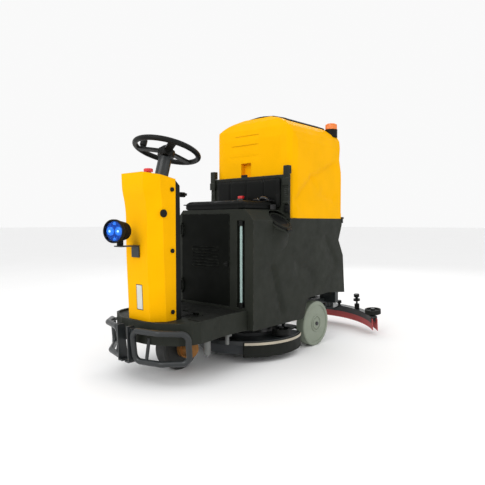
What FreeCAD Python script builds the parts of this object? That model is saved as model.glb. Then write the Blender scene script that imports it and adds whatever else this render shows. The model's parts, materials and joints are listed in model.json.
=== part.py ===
import FreeCAD, Part
import math
import os

# Ride-on floor scrubber.  Millimetres, +Z up, front towards -Y, left-hand side towards +X,
# floor at z = 0, origin under the middle of the overall length and width.

# ---- overall layout -------------------------------------------------------
body_half_width = 258.0
floor_clearance = 165.0
wheel_radius = 117.0
wheel_width = 52.0
front_wheel_y = -510.0
rear_wheel_y = 242.0
seam_z = 672.0              # joint between the lower body and the recovery tank
tank_top_z = 1212.0
tank_front_y = -9.0
tank_rear_y = 484.0
seat_front_y = -287.0
platform_front_y = -752.0
platform_top_z = 246.0
column_height = 864.0
squeegee_half_width = 412.0

# ---- walls and clearances -------------------------------------------------
shell_wall = 5.0
plate = 5.0
touch_gap = 0.3             # left between curved or moving faces
running_fit = 0.05          # radial clearance of a shaft in its bore
hinge_gap = 1.0             # side clearance of a swinging piece

X = FreeCAD.Vector(1, 0, 0)
Y = FreeCAD.Vector(0, 1, 0)
Z = FreeCAD.Vector(0, 0, 1)


def vec(x, y, z):
    return FreeCAD.Vector(x, y, z)


def box(x0, x1, y0, y1, z0, z1):
    """Axis-aligned block between two corners."""
    return Part.makeBox(x1 - x0, y1 - y0, z1 - z0, vec(x0, y0, z0))


def rod(radius, start, end):
    """Solid cylinder between two points."""
    way = end - start
    return Part.makeCylinder(radius, way.Length, start, way)


def ring(outer, inner, start, end):
    """Cylinder with a through bore."""
    return rod(outer, start, end).cut(rod(inner, start, end))


def side_prism(points, x0, x1):
    """Outline in (y, z) drawn out along X."""
    outline = Part.makePolygon([vec(x0, y, z) for y, z in points + points[:1]])
    return Part.Face(outline).extrude(vec(x1 - x0, 0, 0))


def front_prism(points, y0, y1):
    """Outline in (x, z) drawn out along Y."""
    outline = Part.makePolygon([vec(x, y0, z) for x, z in points + points[:1]])
    return Part.Face(outline).extrude(vec(0, y1 - y0, 0))


def plan_prism(points, z0, z1):
    """Outline in (x, y) drawn out along Z."""
    outline = Part.makePolygon([vec(x, y, z0) for x, y in points + points[:1]])
    return Part.Face(outline).extrude(vec(0, 0, z1 - z0))


def mirrored(points):
    """Close a half outline (x >= 0) with its mirror image."""
    return points + [(-x, other) for x, other in reversed(points) if x > 0]


def flip(shape):
    """Copy on the right-hand side of the machine."""
    return shape.mirror(vec(0, 0, 0), X)


def fused(shapes):
    result = shapes[0]
    if len(shapes) > 1:
        result = result.multiFuse(shapes[1:])
    return result.removeSplitter()


def turned(shape, centre, axis, degrees):
    result = shape.copy()
    result.rotate(centre, axis, degrees)
    return result


def bar_corner(before, corner, after, bend, radius):
    """Tangent points of a bend in round bar, and the bend itself."""
    heading = (corner - before).normalize()
    leaving = (after - corner).normalize()
    turn = heading.getAngle(leaving)
    reach = bend * math.tan(turn / 2)
    start = corner - heading * reach
    axis = heading.cross(leaving).normalize()
    centre = start + axis.cross(heading) * bend
    section = Part.Face(Part.Wire(Part.makeCircle(radius, start, heading)))
    return start, corner + leaving * reach, section.revolve(centre, axis, math.degrees(turn))


def bent_loop(points, bend, radius):
    """Closed loop of round bar: straight runs joined by tangent bends."""
    count = len(points)
    corners = [bar_corner(points[k - 1], points[k], points[(k + 1) % count], bend, radius)
               for k in range(count)]
    pieces = [corner[2] for corner in corners]
    for k in range(count):
        pieces.append(rod(radius, corners[k - 1][1], corners[k][0]))
    return fused(pieces)


def save(name, shape):
    """Write one node, as a single solid or as a group of separate solids."""
    solids = shape.Solids
    result = solids[0] if len(solids) == 1 else Part.makeCompound(solids)
    result.exportStep("parts/%s.step" % name)


# ---- lower body (dark moulding that holds the solution) -------------------
shoulder_top_x = 207.0
shoulder_top_z = 712.0
shoulder_side_z = 660.0
front_skin = 32.0           # double-skinned front, deep enough for the sight tube
slot_x0 = 158.0
slot_x1 = 206.0
slot_z0 = 262.0
slot_z1 = 660.0
slot_depth = 24.0
panel_x0 = -212.0
panel_x1 = 112.0
panel_z0 = 262.0
panel_z1 = 690.0
panel_thick = 4.0
panel_recess = 3.0
panel_hinge_y = seat_front_y - 7.0
panel_hinges_z = (310.0, 590.0)
arch_gap = 16.0             # between the rear wheel and its arch
body_rear_bottom_z = 255.0
neck_centre = vec(245, -80, 655)
neck_tilt = 38.0            # outward tilt of the filler from the vertical
neck_radius = 66.0
neck_bore = 52.0
neck_collar = 20.0
neck_depth = 70.0
neck_axis = vec(math.sin(math.radians(neck_tilt)), 0, math.cos(math.radians(neck_tilt)))


def body_profile(skin):
    """Side outline of the lower body, moved inwards by the skin."""
    arch_front = rear_wheel_y - wheel_radius - arch_gap - skin
    arch_top = 2 * wheel_radius + arch_gap + 14
    return [(arch_front, floor_clearance + skin), (arch_front + 30, arch_top - 12),
            (arch_front + 52, arch_top), (rear_wheel_y + 108, arch_top + 8),
            (tank_rear_y + 35 - skin, body_rear_bottom_z), (tank_rear_y + 14 - skin, 467),
            (tank_rear_y - 35 - skin, 554), (tank_rear_y - 1 - skin, 638),
            (tank_rear_y - skin, seam_z - skin)]


def shoulder_wedge(skin):
    """Material taken off the left shoulder in front of the tank."""
    drop = skin * 1.4
    top = (shoulder_top_x - drop, shoulder_top_z + touch_gap)
    side = (body_half_width - drop + skin + 0.4, shoulder_side_z)
    far = body_half_width + 30
    points = [top, (side[0], side[1] - drop * 0.2), (far, side[1] - drop * 0.2), (far, top[1] + 20),
              (top[0], top[1] + 20)]
    return front_prism(points, seat_front_y - 10, tank_front_y - skin)


def filler_solid(radius, clear):
    """Outside of the filler: collar and the tapered throat below it."""
    top = neck_centre
    low = neck_centre - neck_axis * (neck_collar + clear)
    collar = rod(radius + clear, low, top + neck_axis * clear)
    throat = Part.makeCone(radius - 24 + clear, radius + clear, neck_depth, low - neck_axis * neck_depth,
                           neck_axis)
    return collar.fuse(throat)


def make_body_shell():
    outline = body_profile(0) + [(tank_front_y, seam_z), (tank_front_y, shoulder_top_z),
                                 (seat_front_y, shoulder_top_z), (seat_front_y, floor_clearance)]
    outer = side_prism(outline, -body_half_width, body_half_width)
    outer = outer.cut(shoulder_wedge(0)).cut(flip(shoulder_wedge(0)))
    rear_edge = body_profile(shell_wall)[4:]
    hollow = rear_edge + [(tank_front_y - shell_wall, seam_z - shell_wall),
                          (tank_front_y - shell_wall, shoulder_top_z - shell_wall),
                          (seat_front_y + front_skin, shoulder_top_z - shell_wall),
                          (seat_front_y + front_skin, floor_clearance - 1),
                          (tank_rear_y + 35 - shell_wall, floor_clearance - 1)]
    inside = body_half_width - shell_wall
    cavity = side_prism(hollow, -inside, inside)
    cavity = cavity.cut(shoulder_wedge(shell_wall)).cut(flip(shoulder_wedge(shell_wall)))
    shell = outer.cut(cavity)
    slot = box(slot_x0, slot_x1, seat_front_y - 1, seat_front_y + slot_depth, slot_z0, slot_z1)
    seat = box(panel_x0 - 2, panel_x1 + 2, seat_front_y - 1, seat_front_y + panel_recess,
               panel_z0 - 2, panel_z1 + 2)
    access = box(panel_x0 + 14, panel_x1 - 14, seat_front_y - 1, seat_front_y + front_skin + 1,
                 panel_z0 + 14, panel_z1 - 14)
    rails = box(-rail_out - 2, rail_out + 2, seat_front_y - 1, seat_front_y + front_skin + 1,
                floor_clearance - 1, rail_z1 + 2)
    shell = shell.cut(slot).cut(seat).cut(access).cut(rails)
    for z in panel_hinges_z:
        for low, high in ((z - 12, z - 0.5), (z + 50.5, z + 62)):
            shell = shell.fuse(rod(5, vec(panel_x0, panel_hinge_y, low), vec(panel_x0, panel_hinge_y, high)))
            shell = shell.fuse(box(panel_x0 - 14, panel_x0, panel_hinge_y - 2, seat_front_y + 1, low, high))
    shell = shell.fuse(make_back_panel())
    pocket = rod(neck_radius + 3, neck_centre, neck_centre + neck_axis * 90)
    return shell.cut(pocket).cut(filler_solid(neck_radius, touch_gap)).removeSplitter()


def make_back_panel():
    """Upright behind the seat, carrying the lugs of the two tank latches."""
    half = [(0, shoulder_top_z - 2), (shoulder_top_x - 1, shoulder_top_z - 2),
            (body_half_width, shoulder_side_z - 1), (body_half_width, panel_top_z)]
    front = tank_front_y - 1.5 - back_panel_thick
    panel = front_prism(mirrored(half + [(0, panel_top_z)]), front, front + back_panel_thick)
    for side in (-1, 1):
        x = side * latch_strap_x
        lug = box(x - lug_half, x + lug_half, front - 16, front, latch_pivot_z - 8, latch_pivot_z + 8)
        bore = rod(latch_pin + running_fit, vec(x - 20, latch_pivot_y, latch_pivot_z),
                   vec(x + 20, latch_pivot_y, latch_pivot_z))
        panel = panel.fuse(lug).cut(bore)
    return panel


back_panel_thick = 12.0
panel_top_z = 885.0
latch_strap_x = 248.0
lug_half = 8.0
latch_pin = 3.0
latch_pivot_y = tank_front_y - 1.5 - back_panel_thick - 9.0
latch_pivot_z = 748.0


def make_fill_neck():
    body = filler_solid(neck_radius, 0)
    bottom = neck_centre - neck_axis * (neck_collar + neck_depth + 1)
    neck = body.cut(rod(neck_bore, neck_centre - neck_axis * neck_collar, neck_centre + neck_axis))
    return neck.cut(rod(neck_bore - 18, bottom, neck_centre))


cap_thick = 7.0
cap_hinge_reach = neck_radius + 6
cap_base = neck_centre + neck_axis * touch_gap
cap_across = vec(math.cos(math.radians(neck_tilt)), 0, -math.sin(math.radians(neck_tilt)))


def make_fill_cap():
    """Dished lid with its hinge knuckle on the outer side of the collar."""
    lid = rod(neck_radius - 2, cap_base, cap_base + neck_axis * cap_thick)
    dish = rod(neck_bore - 12, cap_base + neck_axis * (cap_thick - 3), cap_base + neck_axis * 20)
    plug = rod(neck_bore - 4, cap_base - neck_axis * 10, cap_base)
    hinge = cap_base + cap_across * cap_hinge_reach + neck_axis * 4
    barrel = rod(5, hinge - Y * 16, hinge + Y * 16)
    leaf = rod(8, hinge - cap_across * 9 - Y * 14, hinge - cap_across * 9 + Y * 14)
    leaf = leaf.common(rod(cap_hinge_reach + 3, cap_base, cap_base + neck_axis * cap_thick))
    return fused([lid.cut(dish), plug.cut(dish), barrel, leaf])


sight_radius = 6.5
elbow_radius = 11.0
sight_x = (slot_x0 + slot_x1) / 2
sight_y = seat_front_y + 4


def make_sight_tube():
    return rod(sight_radius, vec(sight_x, sight_y, slot_z0 + 24), vec(sight_x, sight_y, slot_z1 - 24))


def make_sight_elbows():
    """Barbed elbows that carry the sight tube at both ends of its slot."""
    pieces = []
    for centre_z, toward in ((slot_z0 + 12, 1), (slot_z1 - 12, -1)):
        stub = rod(elbow_radius, vec(sight_x, sight_y, centre_z - toward * 11),
                   vec(sight_x, sight_y, centre_z + toward * 12))
        wall_y = seat_front_y + slot_depth
        socket = rod(elbow_radius - 1.5, vec(sight_x, sight_y, centre_z), vec(sight_x, wall_y, centre_z))
        pieces.append(fused([stub, socket]))
    return Part.makeCompound(pieces)


def make_service_panel():
    """Louvred door over the electrics, with hinge barrels on its right-hand edge."""
    back = seat_front_y + panel_recess - touch_gap
    front = back - panel_thick
    door = box(panel_x0, panel_x1, front, back, panel_z0, panel_z1)
    slats = []
    for index in range(7):
        z = 440 + index * 15
        slats.append(box(-137, 43, front - 1, back + 1, z, z + 3))
        slats.append(box(-137, 43, front - 4, front, z + 3, z + 6))
    for slat in slats[0::2]:
        door = door.cut(slat)
    door = door.cut(rod(latch_shaft + running_fit, vec(latch_x, front - 2, latch_z),
                        vec(latch_x, back + 2, latch_z)))
    barrels = [rod(5, vec(panel_x0, panel_hinge_y, z), vec(panel_x0, panel_hinge_y, z + 50))
               for z in panel_hinges_z]
    leaves = [box(panel_x0, panel_x0 + 14, panel_hinge_y - 2, front + 1, z, z + 50) for z in panel_hinges_z]
    return fused([door] + slats[1::2] + barrels + leaves)


latch_x = 98.0
latch_z = 459.0
latch_shaft = 5.0


def make_panel_latch():
    """Quarter-turn key latch: knob outside, cam inside."""
    back = seat_front_y + panel_recess - touch_gap
    front = back - panel_thick
    knob = rod(11, vec(latch_x, front - 7, latch_z), vec(latch_x, front - touch_gap, latch_z))
    shaft = rod(latch_shaft, vec(latch_x, front - 7, latch_z), vec(latch_x, back, latch_z))
    grip = box(latch_x - 10, latch_x + 10, front - 14, front - 7, latch_z - 2.5, latch_z + 2.5)
    return fused([knob, shaft, grip])


# ---- seat -----------------------------------------------------------------
cushion_half = 205.0
cushion_top = 752.0
cushion_front_y = seat_front_y - 12
backrest_half = 224.0
backrest_top = 884.0
backrest_thick = 20.0
backrest_back_y = tank_front_y - 1.5 - back_panel_thick - touch_gap
buckle_y = -80.0


seat_channel_y = -145.0     # sewn channel between the front and the back of the pad


def make_seat_cushion():
    """Seat pad with a sewn channel across it and a gap for the buckle."""
    base = shoulder_top_z + touch_gap
    slab = box(-cushion_half, cushion_half, cushion_front_y, backrest_back_y - backrest_thick - 6, base,
               cushion_top)
    slab = slab.makeFillet(14, [edge for edge in slab.Edges if edge.BoundBox.ZMin > base + 1])
    channel = box(-cushion_half - 1, cushion_half + 1, seat_channel_y - 2, seat_channel_y + 2,
                  cushion_top - 3, cushion_top + 1)
    return slab.cut(channel).cut(box(-22, 22, buckle_y - 12, buckle_y + 14, base - 1, cushion_top + 1))


def make_backrest():
    back = backrest_back_y
    panel = box(-backrest_half, backrest_half, back - backrest_thick, back, shoulder_top_z + touch_gap,
                backrest_top)
    for x in (-112, 0, 112):
        panel = panel.cut(box(x - 2, x + 2, back - backrest_thick - 1, back - backrest_thick + 5,
                              shoulder_top_z + 30, backrest_top + 1))
    return panel


buckle_top = 776.0
button_travel = 5.0


def make_seat_belt():
    """Buckle stalk in the gap of the cushion; strap with its tongue laid on the seat."""
    low = shoulder_top_z + touch_gap
    buckle = box(-15, 15, buckle_y - 8, buckle_y + 8, low, buckle_top)
    buckle = buckle.cut(box(-11, 11, buckle_y - 5, buckle_y + 5, buckle_top - 16, buckle_top + 1))
    strap_y = backrest_back_y - backrest_thick - 60
    strap = box(92, cushion_half - 16, strap_y, strap_y + 46, cushion_top + touch_gap, cushion_top + 3.5)
    fall = box(cushion_half + touch_gap, cushion_half + 3, strap_y, strap_y + 46,
               shoulder_top_z + touch_gap, cushion_top - 14)
    tongue = box(64, 92, strap_y + 8, strap_y + 38, cushion_top + touch_gap, cushion_top + 3.5)
    block = box(92, 132, strap_y - 2, strap_y + 48, cushion_top + 3.5, cushion_top + 16)
    return Part.makeCompound([buckle, fused([strap, tongue, block]), fall])


def make_buckle_button():
    return box(-11 + touch_gap, 11 - touch_gap, buckle_y - 5 + touch_gap, buckle_y + 5 - touch_gap,
               buckle_top - 10, buckle_top + button_travel + 2)


# ---- chassis --------------------------------------------------------------
rail_in = 150.0
rail_out = 180.0
rail_z0 = 196.0
rail_z1 = 226.0
rail_front_y = -690.0
rail_rear_y = 468.0
head_z0 = 210.0
kingpin_radius = 15.0
axle_radius = 10.0
wheel_outer_x = 250.0
drive_wheel_radius = 100.0
drive_wheel_width = 64.0
column_shaft_y = -656.0
squeegee_pivot_y = 420.0
squeegee_pivot_z = 170.0
deck_pivot_y = 150.0


def make_chassis():
    """Welded frame: rails, cross members, steering head, stub axles and the arm lugs."""
    parts = []
    for side in (-1, 1):
        rail = box(rail_in, rail_out, rail_front_y, rail_rear_y, rail_z0, rail_z1)
        axle_plate = box(rail_in, rail_out - 18, rear_wheel_y - 30, rear_wheel_y + 30, wheel_radius - 25,
                         rail_z0)
        stub = rod(axle_radius, vec(rail_in + 2, rear_wheel_y, wheel_radius),
                   vec(wheel_outer_x + 6, rear_wheel_y, wheel_radius))
        collar = rod(axle_radius + 8, vec(rail_in + 2, rear_wheel_y, wheel_radius),
                     vec(wheel_outer_x - wheel_width - hinge_gap, rear_wheel_y, wheel_radius))
        hanger = box(rail_in, body_half_width - shell_wall - touch_gap, seat_front_y + 50, seat_front_y + 80,
                     rail_z0 + 6, rail_z1)
        rear_hanger = box(rail_in, body_half_width - shell_wall - touch_gap, rail_rear_y - 40,
                          rail_rear_y - 10, rail_z1 - 24, rail_z1 + 50)
        post = box(rail_in, rail_out, seat_front_y + 60, seat_front_y + 90, rail_z1, tray_z)
        rear_post = box(rail_in, rail_out, tank_front_y - 40, tank_front_y - 10, rail_z1, tray_z)
        half = [rail, axle_plate, stub, collar, hanger, rear_hanger, post, rear_post]
        parts += half if side > 0 else [flip(shape) for shape in half]
    for y, depth, top in ((rail_front_y, 16, chain_z - 6), (seat_front_y - 40, 30, rail_z1),
                          (rail_rear_y - 30, 30, rail_z1)):
        parts.append(box(-rail_in, rail_in, y, y + depth, rail_z0, top))
    tray = box(-rail_out - 12, rail_out + 12, seat_front_y + front_skin + 6, tank_front_y - 10, tray_z,
               tray_z + plate)
    head = box(-rail_in, rail_in, front_wheel_y - 60, front_wheel_y + 60, head_z0, head_z0 + 8)
    boss = rod(kingpin_radius + 12, vec(0, front_wheel_y, head_z0 - 1.5), vec(0, front_wheel_y, head_z0 + 8))
    frame = fused(parts + [tray, head, boss])
    frame = frame.cut(rod(kingpin_radius + running_fit, vec(0, front_wheel_y, head_z0 - 10),
                          vec(0, front_wheel_y, head_z0 + 20)))
    lugs = []
    for x in (-lug_x - plate, lug_x):
        lugs.append(box(x, x + plate, squeegee_pivot_y - 16, squeegee_pivot_y + 24, squeegee_pivot_z - 14,
                        rail_z1))
    cross = box(-rail_in, rail_in, deck_pivot_y - 14, deck_pivot_y + 14, rail_z1 - 20, rail_z1)
    bar = rod(6, vec(-lug_x, squeegee_pivot_y, squeegee_pivot_z), vec(lug_x, squeegee_pivot_y,
                                                                     squeegee_pivot_z))
    frame = fused([frame, cross, bar] + lugs)
    for x in (-guide_x, guide_x):
        frame = frame.fuse(rod(14, vec(x, deck_pivot_y, rail_z0 - 36), vec(x, deck_pivot_y, rail_z1)))
        frame = frame.cut(rod(guide_radius + running_fit, vec(x, deck_pivot_y, rail_z0 - 40),
                              vec(x, deck_pivot_y, rail_z1 + 1)))
    return frame.cut(rod(actuator_rod + 2, vec(0, deck_pivot_y, rail_z0 - 1),
                         vec(0, deck_pivot_y, rail_z1 + 1))).removeSplitter()


tray_z = 296.0
guide_x = 100.0
guide_radius = 8.0
actuator_rod = 7.0
lug_x = 60.0
battery_long = 184.0
battery_deep = 106.0
battery_high = 240.0
battery_gap = 2.0


def make_batteries():
    """Four traction batteries on the tray, each with two terminal posts."""
    cells = []
    base = tray_z + plate
    rear = tank_front_y - 16
    for row in range(2):
        y1 = rear - row * (battery_deep + battery_gap)
        for side in (-1, 1):
            x0 = battery_gap if side > 0 else -battery_gap - battery_long
            case = box(x0, x0 + battery_long, y1 - battery_deep, y1, base, base + battery_high)
            posts = [rod(7, vec(x, y1 - 30, base + battery_high), vec(x, y1 - 30, base + battery_high + 14))
                     for x in (x0 + 30, x0 + battery_long - 30)]
            cells.append(fused([case] + posts))
    return Part.makeCompound(cells)


def make_vacuum_motor():
    """Suction motor flanged to the underside of the body top."""
    top = seam_z - shell_wall
    centre = vec(0, 200, 0)
    flange = rod(88, centre + Z * (top - 8), centre + Z * top)
    fan = rod(74, centre + Z * (top - 60), centre + Z * (top - 8))
    motor = rod(46, centre + Z * (top - 140), centre + Z * (top - 60))
    outlet = rod(20, centre + vec(0, 60, top - 34), centre + vec(0, 130, top - 34))
    return fused([flange, fan, motor, outlet])


# ---- platform -------------------------------------------------------------
rim_height = 8.0
rim_width = 9.0


def platform_half(inset):
    """Half outline of the foot platform, from the nose back to the seat box."""
    nose = platform_front_y + inset
    return [(0, nose), (80 - inset * 0.3, nose + 5), (150 - inset * 0.5, nose + 30),
            (208 - inset * 0.8, nose + 68), (236 - inset, nose + 112), (246 - inset, nose + 156),
            (238 - inset, nose + 222), (226 - inset, nose + 280), (222 - inset, nose + 366),
            (224 - inset, seat_front_y)]


def make_platform():
    outer = plan_prism(mirrored(platform_half(0)), floor_clearance, platform_top_z + rim_height)
    bowl = plan_prism(mirrored(platform_half(rim_width)), platform_top_z, platform_top_z + rim_height + 1)
    under = plan_prism(mirrored(platform_half(shell_wall)), floor_clearance - 1, platform_top_z - shell_wall)
    shell = outer.cut(bowl).cut(under)
    shell = shell.cut(box(-post_half - 1, post_half + 1, post_front_y - 1, post_rear_y + 1,
                          platform_top_z - shell_wall - 1, platform_top_z + 1))
    for side in (-1, 1):
        shell = shell.cut(rod(2.4, vec(side * bumper_bolt_x, platform_front_y - 20, bumper_bolt_z),
                              vec(side * bumper_bolt_x, platform_front_y + 60, bumper_bolt_z)))
    for x in (pedal_x - 22, pedal_x + 18):
        shell = shell.fuse(box(x, x + 4, pedal_hinge_y - 7, pedal_hinge_y + 7, platform_top_z - 1,
                               pedal_hinge_z + 6))
    pin = rod(pedal_pin, vec(pedal_x - 22, pedal_hinge_y, pedal_hinge_z),
              vec(pedal_x + 22, pedal_hinge_y, pedal_hinge_z))
    return shell.fuse(pin).removeSplitter()


mat_thick = 3.0


def make_tread_mat():
    """Ribbed rubber mat inside the platform rim."""
    outline = platform_half(rim_width + 4)
    front = rear_cover_back_y + 6
    back = [(x, y) for x, y in outline if front + 4 < y < seat_front_y - 20]
    rear = seat_front_y - 4
    back = [(0, front), (back[0][0] - 2, front)] + back + [(back[-1][0], rear), (0, rear)]
    mat = plan_prism(mirrored(back), platform_top_z, platform_top_z + mat_thick)
    ribs = [box(-180, 180, y, y + 8, platform_top_z + mat_thick, platform_top_z + mat_thick + 1.5)
            for y in (-420, -398, -376, -354, -332, -310)]
    mat = fused([mat] + ribs)
    return mat.cut(box(pedal_x - 34, pedal_x + 34, pedal_y - 50, pedal_y + 50, platform_top_z - 1,
                       platform_top_z + 20))


# ---- steering column ------------------------------------------------------
cover_rear_y = -612.0
cover_half = 112.0
cover_face_half = 70.0
cover_wall = 4.0
rear_cover_back_y = -580.0
post_half = 34.0
post_front_y = -690.0
post_rear_y = -626.0
post_top_z = 800.0
wheel_tilt = 16.0
hub = vec(0, -563, 962)
wheel_axis = vec(0, math.sin(math.radians(wheel_tilt)), math.cos(math.radians(wheel_tilt)))
joint_z = hub.z - (hub.y - column_shaft_y) / math.tan(math.radians(wheel_tilt))
shaft_radius = 8.0
tube_radius = 29.0
tube_top = 34.0             # below the hub, along the wheel axis


def column_plan(inset, z):
    """Plan outline of the column at one height; it leans forward towards the top."""
    lean = 26 * (z - platform_top_z) / (column_height - platform_top_z)
    front = -716 - lean + inset
    face = cover_face_half - inset * 0.5
    wide = cover_half - inset
    half = [(0, front), (face, front), (wide, front + 52), (wide, cover_rear_y + 0.0)]
    return [vec(x, y, z) for x, y in mirrored(half)]


def column_solid(inset, low, high):
    levels = []
    for z in (low, high):
        points = column_plan(inset, z)
        levels.append(Part.makePolygon(points + points[:1]))
    return Part.makeLoft(levels, True, True)


def cover_slope(drop):
    """Everything above the sloping top of the column, lowered by drop."""
    outline = [(-780, column_height - 4 - drop), (cover_rear_y + 1, column_height - 34 - drop),
               (cover_rear_y + 1, column_height + 1), (-780, column_height + 1)]
    return side_prism(outline, -cover_half - 1, cover_half + 1)


def make_column_front_cover():
    """Yellow shell: front and sides, closed by a sloping top."""
    low = platform_top_z + touch_gap
    outer = column_solid(0, low, column_height)
    inner = column_solid(cover_wall, low - 1, column_height)
    inner = inner.fuse(box(-cover_half + cover_wall, cover_half - cover_wall, cover_rear_y - 20,
                           cover_rear_y + 1, low - 1, column_height))
    inner = inner.cut(cover_slope(cover_wall))
    top_cut = cover_slope(0)
    shell = outer.cut(inner).cut(top_cut)
    shell = shell.cut(rod(tube_radius + 1, hub - wheel_axis * 300, hub))
    for x, y, z in screw_places():
        shell = shell.cut(rod(3.2, vec(x * (cover_half - 8), y, z), vec(x * (cover_half + 1), y, z)))
    shell = shell.cut(rod(estop_stem + running_fit, estop_place + Z * 700, estop_place + Z * 900))
    return shell.cut(rod(9, vec(cover_half - 8, -678, 688), vec(cover_half + 1, -678, 688)))


def screw_places():
    return [(side, -632, z) for side in (-1, 1) for z in (283, 535, 786)]


def make_column_screws():
    """Six dome screws and the round blanking plug on the left side."""
    pieces = []
    for side, y, z in screw_places():
        head = rod(9, vec(side * (cover_half + touch_gap), y, z), vec(side * (cover_half + 5), y, z))
        shank = rod(3, vec(side * (cover_half - 7), y, z), vec(side * (cover_half + 1), y, z))
        pieces.append(fused([head, shank]))
    plug = rod(16, vec(cover_half + touch_gap, -678, 688), vec(cover_half + 6, -678, 688))
    stem = rod(8.7, vec(cover_half - 7, -678, 688), vec(cover_half + 1, -678, 688))
    return Part.makeCompound(pieces + [fused([plug, stem])])


def make_column_rear_cover():
    """Black cover that closes the operator's side, with the lever boss."""
    low = platform_top_z + touch_gap
    front = cover_rear_y + touch_gap
    outline = [(front, low), (rear_cover_back_y, low), (rear_cover_back_y - 6, column_height - 60),
               (front, column_height - 36)]
    cover = side_prism(outline, -cover_half + 4, cover_half - 4)
    hollow = side_prism([(front - 1, low - 1), (rear_cover_back_y - 4, low - 1),
                         (rear_cover_back_y - 10, column_height - 66), (front - 1, column_height - 42)],
                        -cover_half + 8, cover_half - 8)
    cover = cover.cut(hollow)
    cover = cover.cut(rod(tube_radius + 1, hub - wheel_axis * 300, hub))
    boss = rod(16, vec(lever_x, rear_cover_back_y - 6, lever_z), vec(lever_x, rear_cover_back_y + 6, lever_z))
    cover = cover.fuse(boss)
    return cover.cut(rod(lever_shaft + running_fit, vec(lever_x, rear_cover_back_y - 20, lever_z),
                         vec(lever_x, rear_cover_back_y + 10, lever_z)))


lever_x = 74.0
lever_z = 770.0
lever_shaft = 6.0


def make_direction_lever():
    """Direction switch knob on its spindle."""
    spindle = rod(lever_shaft, vec(lever_x, rear_cover_back_y - 12, lever_z),
                  vec(lever_x, rear_cover_back_y + 8, lever_z))
    collar = rod(10, vec(lever_x, rear_cover_back_y + 6 + touch_gap, lever_z),
                 vec(lever_x, rear_cover_back_y + 12, lever_z))
    root_y = rear_cover_back_y + 12
    handle = rod(6, vec(lever_x, root_y, lever_z), vec(lever_x, root_y + 20, lever_z))
    knob = rod(11, vec(lever_x, root_y + 17, lever_z), vec(lever_x, root_y + 37, lever_z))
    flag = box(lever_x, lever_x + 24, root_y + 20, root_y + 32, lever_z - 5, lever_z + 5)
    return fused([spindle, collar, handle, knob, flag])


def make_column_post():
    """Steel post with two shaft bearings, and the tube that carries the steering wheel."""
    low = rail_z1
    outer = box(-post_half, post_half, post_front_y, post_rear_y, low, post_top_z)
    inner = box(-post_half + 4, post_half - 4, post_front_y + 4, post_rear_y - 4, low + 6, post_top_z - 6)
    post = outer.cut(inner)
    post = post.cut(box(-post_half + 4, post_half - 4, post_rear_y - 5, post_rear_y + 1, low + 60,
                        post_top_z - 40))
    shelf = box(-post_half + 4, post_half - 4, post_front_y + 4, post_rear_y - 4, joint_z - 60, joint_z - 48)
    foot = box(-rail_in, rail_in, post_front_y + 4, post_rear_y - 2, low, low + 6)
    tube = rod(tube_radius, hub - wheel_axis * 260, hub - wheel_axis * tube_top)
    arm = box(-22, 22, post_rear_y - 30, post_rear_y - 4, post_top_z - 60, post_top_z)
    post = fused([post, shelf, foot, tube, arm])
    post = post.cut(rod(tube_radius - 8, hub - wheel_axis * 262, hub - wheel_axis * (tube_top + 24)))
    post = post.cut(rod(stem_radius + running_fit, hub - wheel_axis * (tube_top + 30), hub))
    clear = rod(tube_radius - 8, hub - wheel_axis * 330, hub - wheel_axis * 250)
    return post.cut(clear).cut(rod(shaft_radius + running_fit, vec(0, column_shaft_y, low - 1),
                                   vec(0, column_shaft_y, joint_z - 40)))


stem_radius = 11.0
ball_radius = 8.0
small_sprocket = 20.0
large_sprocket = 60.0
sprocket_thick = 4.0
chain_z = rail_z1 - 5.0


def make_steering_shaft():
    """Lower shaft with the small sprocket below and the ball of the joint on top."""
    shaft = rod(shaft_radius, vec(0, column_shaft_y, chain_z - 3), vec(0, column_shaft_y, joint_z))
    ball = Part.makeSphere(ball_radius + 2, vec(0, column_shaft_y, joint_z))
    sprocket = rod(small_sprocket, vec(0, column_shaft_y, chain_z),
                   vec(0, column_shaft_y, chain_z + sprocket_thick))
    return fused([shaft, ball, sprocket])


rim_radius = 138.0
rim_thick = 11.5


def make_steering_wheel():
    """Rim, three spokes and hub, with the stem that runs down the tube."""
    rim = Part.makeTorus(rim_radius, rim_thick, hub, wheel_axis)
    centre = rod(36, hub - wheel_axis * 26, hub + wheel_axis * 2)
    pieces = [rim, centre]
    for angle in (90, 210, 330):
        spoke = box(20, rim_radius - 4, -16, 16, -9, 1)
        spoke.rotate(vec(0, 0, 0), Z, angle)
        spoke.rotate(vec(0, 0, 0), X, -wheel_tilt)
        spoke.translate(hub)
        pieces.append(spoke)
    wheel = fused(pieces)
    stem = rod(stem_radius, vec(0, column_shaft_y, joint_z), hub - wheel_axis * 10)
    joint = vec(0, column_shaft_y, joint_z)
    cup = rod(15, joint + wheel_axis * 3, joint + wheel_axis * 24)
    stem = fused([stem, cup]).cut(Part.makeSphere(ball_radius + 2 + touch_gap, joint))
    stem = stem.cut(rod(40, joint - wheel_axis * 30, joint + wheel_axis * 2))
    wheel = fused([wheel, stem])
    socket = turned_on_wheel(rod(5 + running_fit, vec(0, 0, -4), vec(0, 0, 16)))
    return wheel.cut(socket)


spinner_angle = 210.0


def turned_on_wheel(shape):
    """Put a piece drawn about the origin onto the rim at the spinner's place."""
    shape.translate(vec(rim_radius - 24, 0, 0))
    shape.rotate(vec(0, 0, 0), Z, spinner_angle)
    shape.rotate(vec(0, 0, 0), X, -wheel_tilt)
    shape.translate(hub)
    return shape


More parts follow.
